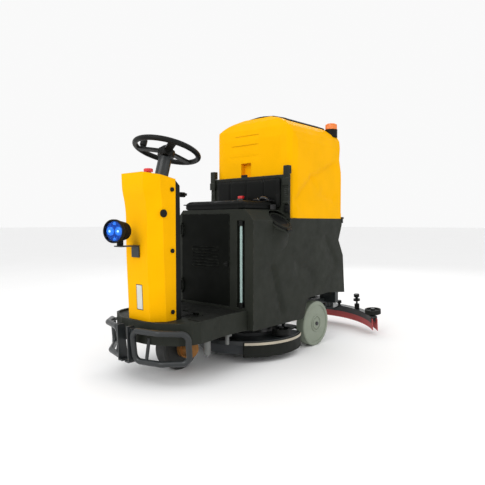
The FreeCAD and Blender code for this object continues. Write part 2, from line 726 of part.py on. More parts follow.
def make_spinner_knob():
    """Free-turning knob on its pin, standing on the steering wheel."""
    pin = rod(5, vec(0, 0, -3), vec(0, 0, 4))
    skirt = rod(11, vec(0, 0, 1 + touch_gap), vec(0, 0, 8))
    grip = rod(15, vec(0, 0, 8), vec(0, 0, 40))
    grip = grip.makeFillet(6, [edge for edge in grip.Edges if edge.Length > 80])
    return turned_on_wheel(fused([pin, skirt, grip]))


def make_steering_chain():
    """Roller chain as a closed loop round both sprockets."""
    loops = []
    for grow in (touch_gap, 4.0):
        big = large_sprocket + grow
        small = small_sprocket + grow
        span = front_wheel_y - column_shaft_y
        lean = math.asin((big - small) / span)
        side = vec(math.cos(lean), math.sin(lean) * -1, 0)
        z = vec(0, 0, chain_z + 0.5)
        big_centre = vec(0, front_wheel_y, 0) + z
        small_centre = vec(0, column_shaft_y, 0) + z
        other = vec(-side.x, side.y, 0)
        edges = [Part.Arc(big_centre + side * big, big_centre + Y * big, big_centre + other * big).toShape(),
                 Part.makeLine(big_centre + other * big, small_centre + other * small),
                 Part.Arc(small_centre + other * small, small_centre - Y * small,
                          small_centre + side * small).toShape(),
                 Part.makeLine(small_centre + side * small, big_centre + side * big)]
        loops.append(Part.Face(Part.Wire(edges)).extrude(vec(0, 0, sprocket_thick - 1)))
    return loops[1].cut(loops[0])


# ---- drive unit -----------------------------------------------------------
fork_half = drive_wheel_width / 2 + 4
fork_arm = 9.0


def make_steering_fork():
    """Kingpin with the large sprocket, top plate and the two arms of the drive wheel."""
    centre = vec(0, front_wheel_y, 0)
    top = head_z0 - 2
    kingpin = rod(kingpin_radius, centre + Z * (top - 6), centre + Z * (chain_z + sprocket_thick + 6))
    sprocket = rod(large_sprocket, centre + Z * chain_z, centre + Z * (chain_z + sprocket_thick))
    wide = fork_half + fork_arm
    crown = box(-wide, wide, front_wheel_y - 40, front_wheel_y + 40, top - 6, top)
    pieces = [kingpin, sprocket, crown]
    for side in (-1, 1):
        arm = box(fork_half, wide, front_wheel_y - 24, front_wheel_y + 24, drive_wheel_radius - 20, top)
        pieces.append(arm if side > 0 else flip(arm))
    fork = fused(pieces)
    return fork.cut(rod(axle_radius + running_fit, vec(-wide - 1, front_wheel_y, drive_wheel_radius),
                        vec(wide + 1, front_wheel_y, drive_wheel_radius)))


def wheel_solid(radius, width, outer_x, recess, centre_y):
    """Wheel about X with rounded tread edges and a shallow recess in its outer face."""
    inner_x = outer_x - width
    profile = [(inner_x, 0), (inner_x, radius - 6), (inner_x + 4, radius), (outer_x - 4, radius),
               (outer_x, radius - 6), (outer_x, radius - 14), (outer_x - recess, radius - 18),
               (outer_x - recess, 30), (outer_x, 26), (outer_x, 0)]
    points = [vec(x, 0, r) for x, r in profile]
    face = Part.Face(Part.makePolygon(points + points[:1]))
    wheel = face.revolve(vec(0, 0, 0), X, 360)
    wheel.translate(vec(0, centre_y, radius))
    return wheel


def make_drive_wheel():
    wheel = wheel_solid(drive_wheel_radius, drive_wheel_width, drive_wheel_width / 2, 4, front_wheel_y)
    reach = fork_half + fork_arm
    return wheel.fuse(rod(axle_radius, vec(-reach, front_wheel_y, drive_wheel_radius),
                          vec(reach, front_wheel_y, drive_wheel_radius)))


def make_drive_motor():
    """Traction motor with its brake, bolted to the outside of one fork arm."""
    start = fork_half + fork_arm
    y = front_wheel_y
    z = drive_wheel_radius
    gearbox = rod(42, vec(start, y, z), vec(start + 22, y, z))
    motor = rod(35, vec(start + 22, y, z), vec(start + 56, y, z))
    brake = rod(26, vec(start + 56, y, z), vec(start + 66, y, z))
    return fused([gearbox, motor, brake])


def make_rear_wheel():
    wheel = wheel_solid(wheel_radius, wheel_width, wheel_outer_x, 4, rear_wheel_y)
    return wheel.cut(rod(axle_radius + running_fit, vec(0, rear_wheel_y, wheel_radius),
                         vec(300, rear_wheel_y, wheel_radius)))


# ---- controls and lamp ----------------------------------------------------
pedal_x = 109.0
pedal_y = -528.0
pedal_hinge_y = -490.0
pedal_hinge_z = 256.0
pedal_pin = 3.0
pedal_rise = 14.0           # slope of the released pedal, degrees
pedal_length = 72.0
estop_place = vec(34, -690, 0)
estop_travel = 4.0
estop_stem = 8.0
lamp_yaw = 20.0
lamp_radius = 47.0
lamp_centre = vec(8, -843.7, 617)
lamp_way = vec(math.sin(math.radians(lamp_yaw)), -math.cos(math.radians(lamp_yaw)), 0)
lamp_pivot = lamp_centre - lamp_way * 46
lamp_bolt = 5.0


def make_pedal():
    """Accelerator: ribbed plate hinged at the heel."""
    barrel = rod(6, vec(pedal_x - 17.5, pedal_hinge_y, pedal_hinge_z),
                 vec(pedal_x + 17.5, pedal_hinge_y, pedal_hinge_z))
    plate_solid = box(pedal_x - 17, pedal_x + 17, pedal_hinge_y - pedal_length, pedal_hinge_y,
                      pedal_hinge_z + 1, pedal_hinge_z + 6)
    ribs = [box(pedal_x - 15, pedal_x + 15, y, y + 4, pedal_hinge_z + 6, pedal_hinge_z + 8)
            for y in (-556, -544, -532, -520, -508)]
    pedal = fused([barrel, plate_solid] + ribs)
    pedal = turned(pedal, vec(pedal_x, pedal_hinge_y, pedal_hinge_z), X, -pedal_rise)
    return pedal.cut(rod(pedal_pin + running_fit, vec(pedal_x - 30, pedal_hinge_y, pedal_hinge_z),
                         vec(pedal_x + 30, pedal_hinge_y, pedal_hinge_z)))


def estop_seat_z():
    """Height of the sloping cover top under the button."""
    run = (estop_place.y + 780) / (cover_rear_y + 1 + 780)
    return column_height - 4 - 30 * run


def make_estop():
    base = estop_place + Z * (estop_seat_z() + estop_travel + 2)
    head = rod(19, base + Z * 8, base + Z * 22)
    head = head.makeFillet(5, [edge for edge in head.Edges if edge.BoundBox.ZMin > base.z + 21])
    neck = rod(12, base, base + Z * 8)
    stem = rod(estop_stem, base - Z * 26, base)
    return fused([head, neck, stem])


def make_lamp_bracket():
    """Angle bracket on the column face with the swivel bolt of the lamp."""
    foot_z = lamp_centre.z - lamp_radius - 16
    face_y = column_plan(0, foot_z)[0].y
    back_y = -716 - 26 * (foot_z - 20 - platform_top_z) / (column_height - platform_top_z)
    back = side_prism([(face_y - touch_gap - 6, foot_z + 5), (face_y - touch_gap, foot_z + 5),
                       (back_y - touch_gap, foot_z - 45), (back_y - touch_gap - 6, foot_z - 45)], -24, 24)
    arm = box(-24, 24, lamp_pivot.y - 18, face_y - 2, foot_z, foot_z + 5)
    bolt = rod(lamp_bolt, vec(lamp_pivot.x, lamp_pivot.y, foot_z), vec(lamp_pivot.x, lamp_pivot.y,
                                                                      foot_z + 18))
    return fused([back, arm, bolt])


def make_lamp_housing():
    """Finned lamp body on a short foot that swivels on the bracket bolt."""
    foot_z = lamp_centre.z - lamp_radius - 16 + 5 + touch_gap
    shell = rod(lamp_radius, lamp_centre - lamp_way * 16, lamp_centre)
    shell = shell.cut(rod(lamp_radius - 4, lamp_centre - lamp_way * 8, lamp_centre + lamp_way))
    core = rod(26, lamp_centre - lamp_way * 78, lamp_centre - lamp_way * 16)
    fins = [rod(lamp_radius - 3 - step, lamp_centre - lamp_way * (24 + 9 * step),
                lamp_centre - lamp_way * (20 + 9 * step)) for step in range(6)]
    foot = rod(13, vec(lamp_pivot.x, lamp_pivot.y, foot_z), vec(lamp_pivot.x, lamp_pivot.y, foot_z + 30))
    housing = fused([shell, core, foot] + fins)
    return housing.cut(rod(lamp_bolt + running_fit, vec(lamp_pivot.x, lamp_pivot.y, foot_z - 1),
                           vec(lamp_pivot.x, lamp_pivot.y, foot_z + 16)))


def make_lamp_lens():
    radius = lamp_radius - 4 - touch_gap
    return rod(radius, lamp_centre - lamp_way * (8 - touch_gap), lamp_centre - lamp_way * 2)


# ---- bumper ---------------------------------------------------------------
bumper_bolt_x = 100.0
bumper_bolt_z = 210.0
bar_radius = 12.0
bar_bend = 30.0


def make_bumper():
    """Left-hand bumper: closed loop of round bar, inner plate and two stays."""
    nose = platform_front_y - 34
    loop = [vec(46, nose, 222), vec(170, nose + 32, 222), vec(252, nose + 112, 218),
            vec(252, nose + 122, 102), vec(170, nose + 46, 98), vec(46, nose + 14, 98)]
    bar = bent_loop(loop, bar_bend, bar_radius)
    blade = side_prism([(nose - 16, 238), (nose + 18, 238), (nose + 34, 92), (nose - 10, 90)], 30, 36)
    foot = side_prism([(nose - 10, 90), (nose + 34, 90), (nose + 34, 96), (nose - 10, 96)], 8, 36)
    web = box(36, 52, nose - 4, nose + 8, 212, 230)
    stays = [rod(7, vec(bumper_bolt_x, nose + 14, 220), vec(bumper_bolt_x - 4, nose + 60, 220)),
             rod(7, vec(236, nose + 90, 219), vec(205, nose + 112, 219))]
    low_stay = rod(7, vec(bumper_bolt_x, nose + 28, 98), vec(bumper_bolt_x - 4, nose + 46, 190))
    loop_solid = fused([bar, blade, foot, web, low_stay] + stays)
    outside = plan_prism(mirrored(platform_half(-touch_gap)), floor_clearance - 1, platform_top_z + 60)
    return loop_solid.cut(outside)


# ---- scrub deck -----------------------------------------------------------
deck_y = -50.0
deck_radius = 284.0
deck_plate_z = 98.0
deck_rear_y = 190.0
skirt_thick = 5.0
skirt_bottom_z = 30.0
skirt_front_y = -270.0
skirt_rear_y = 88.0
brush_radius = 240.0
brush_shaft = 10.0
roller_radius = 46.0
roller_x = 236.0
roller_pin = 6.0
motor_radius = 68.0


def deck_trim(shape):
    """Keep clear of the rear wheels and the axle."""
    for side in (-1, 1):
        x0, x1 = sorted((side * 186, side * 400))
        shape = shape.cut(box(x0, x1, skirt_rear_y, 500, 0, 400))
    return shape.cut(box(-400, 400, deck_rear_y, 500, 0, 400))


def deck_ring(outer, inner, z0, z1):
    return ring(outer, inner, vec(0, deck_y, z0), vec(0, deck_y, z1))


def make_deck_housing():
    """Pressed deck plate with its flange, guide posts, roller studs and actuator lug."""
    plate_disc = rod(deck_radius, vec(0, deck_y, deck_plate_z), vec(0, deck_y, deck_plate_z + plate))
    flange = deck_ring(deck_radius, deck_radius - 4, deck_plate_z - 14, deck_plate_z)
    stiff = deck_ring(180, 172, deck_plate_z + plate, deck_plate_z + plate + 14)
    shell = deck_trim(plate_disc.fuse(flange).fuse(stiff))
    pieces = [shell]
    top = deck_plate_z + plate
    for x in (-guide_x, guide_x):
        pieces.append(rod(guide_radius, vec(x, deck_pivot_y, top - 1), vec(x, deck_pivot_y, rail_z1 + 26)))
    pieces.append(rod(actuator_rod, vec(0, deck_pivot_y, top - 1), vec(0, deck_pivot_y, rail_z1 + 50)))
    for side in (-1, 1):
        stud_x = side * roller_x
        pieces.append(rod(roller_pin + 8, vec(stud_x, deck_y, top - 1), vec(stud_x, deck_y, top + 8)))
        pieces.append(rod(roller_pin, vec(stud_x, deck_y, top), vec(stud_x, deck_y, top + 40)))
        pieces.append(rod(roller_pin + 5, vec(stud_x, deck_y, top + 36), vec(stud_x, deck_y, top + 41)))
    deck = fused(pieces)
    return deck.cut(rod(brush_shaft + 14, vec(0, deck_y, 0), vec(0, deck_y, top + 1)))


def side_arcs(shape):
    """The two side stretches of a ring, open in front of and behind the deck."""
    keep = box(-400, 400, skirt_front_y, skirt_rear_y, 0, 300)
    return shape.common(keep)


def make_deck_skirt():
    inner = deck_radius + touch_gap
    return side_arcs(deck_ring(inner + skirt_thick, inner, skirt_bottom_z, deck_plate_z))


def make_skirt_band():
    inner = deck_radius + skirt_thick + 2 * touch_gap
    strip = deck_ring(inner + 2, inner, deck_plate_z - 13, deck_plate_z - 1)
    return side_arcs(strip)


def make_brush_motor():
    """Geared motor standing on the deck plate, bored for the brush shaft."""
    base = deck_plate_z + plate
    flange = rod(motor_radius + 14, vec(0, deck_y, base), vec(0, deck_y, base + 8))
    gearbox = rod(motor_radius, vec(0, deck_y, base + 8), vec(0, deck_y, base + 50))
    motor = rod(motor_radius - 16, vec(0, deck_y, base + 50), vec(0, deck_y, base + 150))
    terminal = box(-14, 14, deck_y + motor_radius - 18, deck_y + motor_radius - 4, base + 70, base + 110)
    solid = fused([flange, gearbox, motor, terminal])
    return solid.cut(rod(brush_shaft + running_fit, vec(0, deck_y, base - 1), vec(0, deck_y, base + 30)))


def make_disc_brush():
    """Brush back with its hub, and the ring of bristles under it."""
    back = rod(brush_radius, vec(0, deck_y, 80), vec(0, deck_y, 92))
    shaft = rod(brush_shaft, vec(0, deck_y, 86), vec(0, deck_y, deck_plate_z + plate + 28))
    bristles = deck_ring(brush_radius - 4, 110, 28.5, 80)
    return Part.makeCompound([back.fuse(shaft).removeSplitter(), bristles])


def make_deck_roller():
    base = deck_plate_z + plate + 8 + touch_gap
    roller = ring(roller_radius, roller_pin + running_fit, vec(roller_x, deck_y, base),
                  vec(roller_x, deck_y, base + 26))
    dish = ring(roller_radius - 10, roller_pin + 6, vec(roller_x, deck_y, base + 18),
                vec(roller_x, deck_y, base + 27))
    return roller.cut(dish)


def make_deck_actuator():
    """Lift actuator on the cross member: guide tube and its gearmotor."""
    tube = ring(18, actuator_rod + running_fit, vec(0, deck_pivot_y, rail_z1), vec(0, deck_pivot_y,
                                                                                 rail_z1 + 70))
    cap = rod(18, vec(0, deck_pivot_y, rail_z1 + 70), vec(0, deck_pivot_y, rail_z1 + 76))
    motor = rod(22, vec(0, deck_pivot_y + 42, rail_z1 + 20), vec(0, deck_pivot_y + 42, rail_z1 + 120))
    link = box(-12, 12, deck_pivot_y + 16, deck_pivot_y + 40, rail_z1 + 24, rail_z1 + 60)
    return fused([tube, cap, motor, link])


# ---- solution filter ------------------------------------------------------
def make_solution_filter():
    """Filter bowl and solenoid valve hung on the outside of the left rail."""
    x = rail_out + 20
    head = box(rail_out, rail_out + 34, -536, -502, rail_z0 - 30, rail_z0 + 24)
    bowl = rod(15, vec(x, -519, rail_z0 - 96), vec(x, -519, rail_z0 - 30))
    drain = rod(7, vec(x, -519, rail_z0 - 106), vec(x, -519, rail_z0 - 96))
    valve = box(rail_out, rail_out + 28, -404, -376, rail_z0 - 44, rail_z0 + 20)
    nozzle = rod(9, vec(rail_out + 14, -390, rail_z0 - 80), vec(rail_out + 14, -390, rail_z0 - 44))
    return Part.makeCompound([fused([head, bowl, drain]), fused([valve, nozzle])])


# ---- squeegee -------------------------------------------------------------
lift_angle = 5.6
squeegee_radius = 495.0
squeegee_y = 337.3          # centre of the curve, blade flat on the floor
blade_reach = math.degrees(math.asin((squeegee_half_width - 32) / squeegee_radius))
body_reach = blade_reach - 3.0
blade_thick = 3.6
swivel_y = 775.0
swivel_pin = 10.0
hinge_bar = 6.0
arm_half = 24.0
knob_angle = 22.6
end_roller_x = 335.0
end_roller_y = 714.0


def arc_solid(outer, inner, z0, z1, reach):
    """Curved strip about the squeegee centre, symmetrical to both sides."""
    radians = math.radians(reach)
    corners = []
    for radius in (outer, inner):
        left = vec(-radius * math.sin(radians), squeegee_y + radius * math.cos(radians), z0)
        right = vec(radius * math.sin(radians), left.y, z0)
        corners.append((left, vec(0, squeegee_y + radius, z0), right))
    (out_left, out_mid, out_right), (in_left, in_mid, in_right) = corners
    edges = [Part.Arc(out_left, out_mid, out_right).toShape(), Part.makeLine(out_right, in_right),
             Part.Arc(in_right, in_mid, in_left).toShape(), Part.makeLine(in_left, out_left)]
    return Part.Face(Part.Wire(edges)).extrude(vec(0, 0, z1 - z0))


def raised(shape):
    """Turn a piece drawn with the blades on the floor up to the parked position."""
    return turned(shape, vec(0, squeegee_pivot_y, squeegee_pivot_z), X, lift_angle)


def on_curve(degrees, radius, z):
    angle = math.radians(degrees)
    return vec(radius * math.sin(angle), squeegee_y + radius * math.cos(angle), z)


body_z0 = 42.0
body_z1 = 68.0
body_top = 78.0


def make_squeegee_body():
    """Casting with two webs, clamp straps, swivel pin, suction port and roller studs."""
    r = squeegee_radius
    pieces = [arc_solid(r + 17, r - 21, body_z1, body_top, body_reach),
              arc_solid(r + 8, r + 4, body_z0, body_z1, body_reach),
              arc_solid(r - 9, r - 13, body_z0, body_z1, body_reach),
              arc_solid(r + 17, r + 8 + blade_thick + 2 * touch_gap, body_z0, body_z1, body_reach),
              arc_solid(r - 13 - blade_thick - 2 * touch_gap, r - 21, body_z0, body_z1, body_reach),
              box(-52, 52, swivel_y - 34, squeegee_y + r, body_z1, body_top),
              rod(26, vec(0, swivel_y, body_top), vec(0, swivel_y, 118)),
              rod(swivel_pin, vec(0, swivel_y, 110), vec(0, swivel_y, 168)),
              rod(swivel_pin + 5, vec(0, swivel_y, 160 + touch_gap), vec(0, swivel_y, 168)),
              rod(27, vec(-70, squeegee_y + r - 12, body_top), vec(-70, squeegee_y + r - 12, body_top + 34))]
    for side in (-1, 1):
        place = vec(side * end_roller_x, end_roller_y, 0)
        pieces.append(rod(12, place + Z * body_top, place + Z * (body_top + 6)))
        pieces.append(rod(roller_pin, place + Z * body_top, place + Z * (body_top + 36)))
        pieces.append(rod(roller_pin + 5, place + Z * (body_top + 32), place + Z * (body_top + 36)))
    body = fused(pieces)
    port = rod(22, vec(-70, squeegee_y + r - 12, body_z1 - 1), vec(-70, squeegee_y + r - 12, body_top + 40))
    return raised(body.cut(port))


def make_squeegee_blades():
    r = squeegee_radius
    rear = arc_solid(r + 8 + touch_gap + blade_thick, r + 8 + touch_gap, 0, body_z1 - touch_gap, blade_reach)
    front = arc_solid(r - 13 - touch_gap, r - 13 - touch_gap - blade_thick, 2, body_z1 - touch_gap,
                      blade_reach - 1)
    return raised(Part.makeCompound([rear, front]))


def make_squeegee_knobs():
    """Two tall height adjusters and two low clamp knobs on top of the casting."""
    pieces = []
    for degrees, tall in ((-knob_angle, True), (knob_angle, True), (-17, False), (5, False)):
        foot = on_curve(degrees, squeegee_radius - 2, body_top)
        if tall:
            base = rod(15, foot, foot + Z * 30)
            stem = rod(6, foot + Z * 30, foot + Z * 66)
            collar = rod(20, foot + Z * 50, foot + Z * 62)
            head = rod(17, foot + Z * 74, foot + Z * 92)
            neck = rod(9, foot + Z * 62, foot + Z * 74)
            pieces.append(fused([base, stem, collar, neck, head]))
        else:
            pieces.append(fused([rod(8, foot, foot + Z * 12), rod(15, foot + Z * 12, foot + Z * 28)]))
    return raised(Part.makeCompound(pieces))


def make_squeegee_roller():
    place = vec(end_roller_x, end_roller_y, body_top + 6 + touch_gap)
    roller = ring(roller_radius, roller_pin + running_fit, place, place + Z * 25)
    dish = ring(roller_radius - 9, roller_pin + 6, place + Z * 18, place + Z * 26)
    return raised(roller.cut(dish))


def make_squeegee_arm():
    """Trailing arm from the chassis bar to the swivel of the squeegee."""
    side = [(squeegee_pivot_y, squeegee_pivot_z - 12), (squeegee_pivot_y + 12, squeegee_pivot_z + 10),
            (swivel_y - 60, squeegee_pivot_z - 8), (swivel_y + 14, 158), (swivel_y + 14, 136),
            (swivel_y - 60, 138), (squeegee_pivot_y + 20, squeegee_pivot_z - 22)]
    beam = side_prism(side, -arm_half, arm_half)
    barrel = rod(14, vec(-lug_x + hinge_gap, squeegee_pivot_y, squeegee_pivot_z),
                 vec(lug_x - hinge_gap, squeegee_pivot_y, squeegee_pivot_z))
    boss = rod(24, vec(0, swivel_y, 118 + touch_gap), vec(0, swivel_y, 160))
    arm = fused([beam, barrel, boss])
    arm = arm.cut(rod(hinge_bar + running_fit, vec(-80, squeegee_pivot_y, squeegee_pivot_z),
                      vec(80, squeegee_pivot_y, squeegee_pivot_z)))
    return raised(arm.cut(rod(swivel_pin + running_fit, vec(0, swivel_y, 100), vec(0, swivel_y, 200))))


# ---- recovery tank --------------------------------------------------------
tank_wall = 5.0
tank_gap = 0.4              # between the tank and the body it rests on
lid_thick = 5.0
lid_half = 176.0
lid_front_y = 80.0
lid_rear_y = 426.0
mouth_half = 138.0
notch_x0 = -61.0
notch_x1 = 7.0
notch_z0 = 888.0
notch_z1 = 959.0
notch_depth = 30.0
tank_hinge_y = tank_rear_y + 8.0
tank_hinge_z = seam_z + 4.0
tank_pin = 3.0
beacon_place = vec(218, 428, 0)
beacon_seat_z = 1164.0


def tank_solid(grow):
    """Outside of the tank moved outwards by grow: front, side and plan outlines combined."""
    wide = body_half_width + grow
    low = seam_z + tank_gap - grow
    top = tank_top_z - lid_thick + grow
    front = [(0, low), (wide, low), (wide, top - 147), (wide - 6, top - 107), (wide - 22, top - 77),
             (wide - 53, top - 53), (wide - 108, top - 27), (wide - 178, top - 8), (0, top)]
    y0 = tank_front_y - grow
    y1 = tank_rear_y + grow
    side = [(y0, low), (y0, top - 127), (y0 + 7, top - 77), (y0 + 27, top - 37), (y0 + 59, top - 11),
            (y0 + 100, top), (y0 + 290, top - 3), (y0 + 409, top - 28), (y1 - 44, top - 50),
            (y1 - 32, top - 73), (y1 - 25, top - 113), (y1 - 35, 998), (y1 - 3, 881), (y1, 724), (y1, low)]
    plan = [(0, y0), (wide - 62, y0), (wide - 30, y0 + 8), (wide - 9, y0 + 28), (wide, y0 + 60),
            (wide, y1 - 16), (wide - 5, y1 - 5), (wide - 16, y1), (0, y1)]
    shape = front_prism(mirrored(front), y0 - 10, y1 + 10)
    shape = shape.common(side_prism(side, -wide - 10, wide + 10))
    return shape.common(plan_prism(mirrored(plan), low - 10, top + 10))


def make_recovery_tank():
    outer = tank_solid(0)
    notch = box(notch_x0, notch_x1, tank_front_y - 1, tank_front_y + notch_depth, notch_z0, notch_z1)
    pocket = box(notch_x0 - tank_wall, notch_x1 + tank_wall, tank_front_y - 1,
                 tank_front_y + notch_depth + tank_wall, notch_z0 - tank_wall, notch_z1 + tank_wall)
    cavity = tank_solid(-tank_wall).cut(pocket)
    mouth = box(-mouth_half, mouth_half, lid_front_y + 30, lid_rear_y - 30, 1000, tank_top_z + 10)
    tank = outer.cut(cavity).cut(notch).cut(mouth)
    for side in (-1, 1):
        x0, x1 = sorted((side * 238.3, side * 248.7))
        leaf = box(x0, x1, tank_rear_y - 2, tank_rear_y + 6, tank_hinge_z, seam_z + 30)
        barrel = rod(6, vec(x0, tank_hinge_y, tank_hinge_z), vec(x1, tank_hinge_y, tank_hinge_z))
        bore = rod(tank_pin + running_fit, vec(x0 - 1, tank_hinge_y, tank_hinge_z),
                   vec(x1 + 1, tank_hinge_y, tank_hinge_z))
        tank = tank.fuse(leaf).fuse(barrel).cut(bore)
        lid_lug = box(*sorted((side * 92, side * 104)), lid_rear_y + 0.5, lid_rear_y + 14, 1140, lid_hinge_z)
        lug_barrel = rod(5, vec(side * 92, lid_hinge_y, lid_hinge_z),
                         vec(side * 104, lid_hinge_y, lid_hinge_z))
        tank = tank.fuse(lid_lug).fuse(lug_barrel)
        tank = tank.fuse(rod(lid_pin, vec(side * 88, lid_hinge_y, lid_hinge_z),
                             vec(side * 124, lid_hinge_y, lid_hinge_z)))
    inner = tank_solid(-tank_wall).common(box(-130, 130, lid_rear_y - 20, lid_rear_y + 20, 1100, 1300))
    return tank.cut(inner).removeSplitter()


lid_hinge_y = 436.0
lid_hinge_z = 1172.0
lid_pin = 2.5


def make_tank_lid():
    """Curved lid that follows the tank top, with hinge barrels at the rear."""
    field = box(-lid_half, lid_half, lid_front_y, lid_rear_y, 1080, tank_top_z + 20)
    lid = tank_solid(lid_thick).common(field).cut(tank_solid(touch_gap))
    for side in (-1, 1):
        x0, x1 = sorted((side * 106, side * 120))
        barrel = rod(5, vec(x0, lid_hinge_y, lid_hinge_z), vec(x1, lid_hinge_y, lid_hinge_z))
        leaf = box(x0, x1, lid_rear_y - 10, lid_hinge_y, lid_hinge_z - 5, lid_hinge_z + 1)
        bore = rod(lid_pin + running_fit, vec(x0 - 1, lid_hinge_y, lid_hinge_z),
                   vec(x1 + 1, lid_hinge_y, lid_hinge_z))
        lid = lid.fuse(leaf).fuse(barrel).cut(bore).cut(tank_solid(touch_gap))
    return lid.removeSplitter()


def make_tank_hinges():
    """Fixed leaves and pins of the tank hinge, on the rear of the body."""
    pieces = []
    for side in (-1, 1):
        leaf = box(*sorted((side * 224, side * 262)), tank_rear_y + touch_gap, tank_rear_y + 6, seam_z - 24,
                   tank_hinge_z - 8)
        parts = [leaf]
        for near, far in ((224, 238), (249, 262)):
            x0, x1 = sorted((side * near, side * far))
            parts.append(rod(6, vec(x0, tank_hinge_y, tank_hinge_z), vec(x1, tank_hinge_y, tank_hinge_z)))
            parts.append(box(x0, x1, tank_rear_y + 1, tank_rear_y + 6, tank_hinge_z - 9, tank_hinge_z - 2))
        parts.append(rod(tank_pin, vec(side * 230, tank_hinge_y, tank_hinge_z),
                         vec(side * 255, tank_hinge_y, tank_hinge_z)))
        pieces.append(fused(parts))
    return Part.makeCompound(pieces)


def make_float_shutoff():
    """Suction pipe standing in the tank, with the float ball in its cage on top."""
    base = seam_z + tank_gap + tank_wall
    y = 200.0
    pipe = ring(20, 17, vec(0, y, base), vec(0, y, 1060))
    floor = ring(32, 17, vec(0, y, 1060), vec(0, y, 1064))
    roof = rod(32, vec(0, y, 1116), vec(0, y, 1120))
    bars = []
    for k in range(6):
        x = 28 * math.cos(k * math.pi / 3)
        bar_y = y + 28 * math.sin(k * math.pi / 3)
        bars.append(rod(3, vec(x, bar_y, 1062), vec(x, bar_y, 1118)))
    ball = Part.makeSphere(22, vec(0, y, 1064 + math.sqrt(22 ** 2 - 17 ** 2) + touch_gap))
    return Part.makeCompound([fused([pipe, floor, roof] + bars), ball])


def make_beacon_base():
    base = rod(34, beacon_place + Z * 1120, beacon_place + Z * beacon_seat_z)
    return base.cut(tank_solid(touch_gap))


def make_beacon_lens():
    lens = rod(32, beacon_place + Z * (beacon_seat_z + touch_gap), beacon_place + Z * (beacon_seat_z + 33))
    return lens.makeFillet(6, [edge for edge in lens.Edges if edge.BoundBox.ZMin > beacon_seat_z + 30])


def make_tank_latch():
    """Draw latch on the left: rounded fork on the body lug, strap, and the hook over the tank."""
    front = latch_pivot_y - 8
    back = tank_front_y - 1.5 - back_panel_thick - touch_gap
    x = latch_strap_x
    strap = box(x - 17, x + 17, front, back, latch_pivot_z, panel_top_z - 50)
    heel = rod(8, vec(x - 17, latch_pivot_y, latch_pivot_z), vec(x + 17, latch_pivot_y, latch_pivot_z))
    strap = strap.fuse(heel)
    slot = box(x - lug_half - touch_gap, x + lug_half + touch_gap, front - 1, back + 1, latch_pivot_z - 13,
               latch_pivot_z + 12)
    hook = box(x - 19, x + 19, front - 4, back, panel_top_z - 54, panel_top_z + 42)
    nose = box(x - 19, x + 19, back - 1, tank_front_y - touch_gap, panel_top_z + 1, panel_top_z + 42)
    pin = rod(latch_pin, vec(x - 14, latch_pivot_y, latch_pivot_z), vec(x + 14, latch_pivot_y, latch_pivot_z))
    return fused([strap.cut(slot), hook, nose, pin])


# ---- all nodes ------------------------------------------------------------
def main():
    os.makedirs("parts", exist_ok=True)
    rear_wheel = make_rear_wheel()
    deck_roller = make_deck_roller()
    end_roller = make_squeegee_roller()
    bumper = make_bumper()
    latch = make_tank_latch()
    nodes = {
        "chassis_frame": make_chassis(), "body_shell": make_body_shell(), "fill_neck": make_fill_neck(),
        "fill_cap": make_fill_cap(), "sight_tube": make_sight_tube(),
        "sight_tube_elbows": make_sight_elbows(),
        "service_panel": make_service_panel(), "panel_latch": make_panel_latch(),
        "seat_cushion": make_seat_cushion(), "backrest": make_backrest(), "seat_belt": make_seat_belt(),
        "buckle_button": make_buckle_button(), "batteries": make_batteries(),
        "vacuum_motor": make_vacuum_motor(), "foot_platform": make_platform(), "tread_mat": make_tread_mat(),
        "column_front_cover": make_column_front_cover(), "column_rear_cover": make_column_rear_cover(),
        "column_screws": make_column_screws(), "column_post": make_column_post(),
        "direction_lever": make_direction_lever(), "steering_shaft": make_steering_shaft(),
        "steering_wheel": make_steering_wheel(), "spinner_knob": make_spinner_knob(),
        "steering_chain": make_steering_chain(), "steering_fork": make_steering_fork(),
        "drive_wheel": make_drive_wheel(), "drive_motor": make_drive_motor(),
        "rear_wheel_left": rear_wheel, "rear_wheel_right": flip(rear_wheel),
        "accelerator_pedal": make_pedal(), "estop_button": make_estop(), "lamp_bracket": make_lamp_bracket(),
        "lamp_housing": make_lamp_housing(), "lamp_lens": make_lamp_lens(), "bumper_left": bumper,
        "bumper_right": flip(bumper), "deck_housing": make_deck_housing(), "deck_skirt": make_deck_skirt(),
        "skirt_band": make_skirt_band(), "brush_motor": make_brush_motor(), "disc_brush": make_disc_brush(),
        "deck_roller_left": deck_roller, "deck_roller_right": flip(deck_roller),
        "deck_actuator": make_deck_actuator(), "solution_filter": make_solution_filter(),
        "squeegee_body": make_squeegee_body(), "squeegee_blades": make_squeegee_blades(),
        "squeegee_knobs": make_squeegee_knobs(), "squeegee_arm": make_squeegee_arm(),
        "squeegee_roller_left": end_roller, "squeegee_roller_right": flip(end_roller),
        "recovery_tank": make_recovery_tank(), "tank_lid": make_tank_lid(), "tank_hinges": make_tank_hinges(),
        "float_shutoff": make_float_shutoff(), "beacon_base": make_beacon_base(),
        "beacon_lens": make_beacon_lens(), "tank_latch_left": latch, "tank_latch_right": flip(latch),
    }
    for name, shape in nodes.items():
        save(name, shape)


main()
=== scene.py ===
"""Looks of the ride-on floor scrubber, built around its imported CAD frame."""

import json
import math

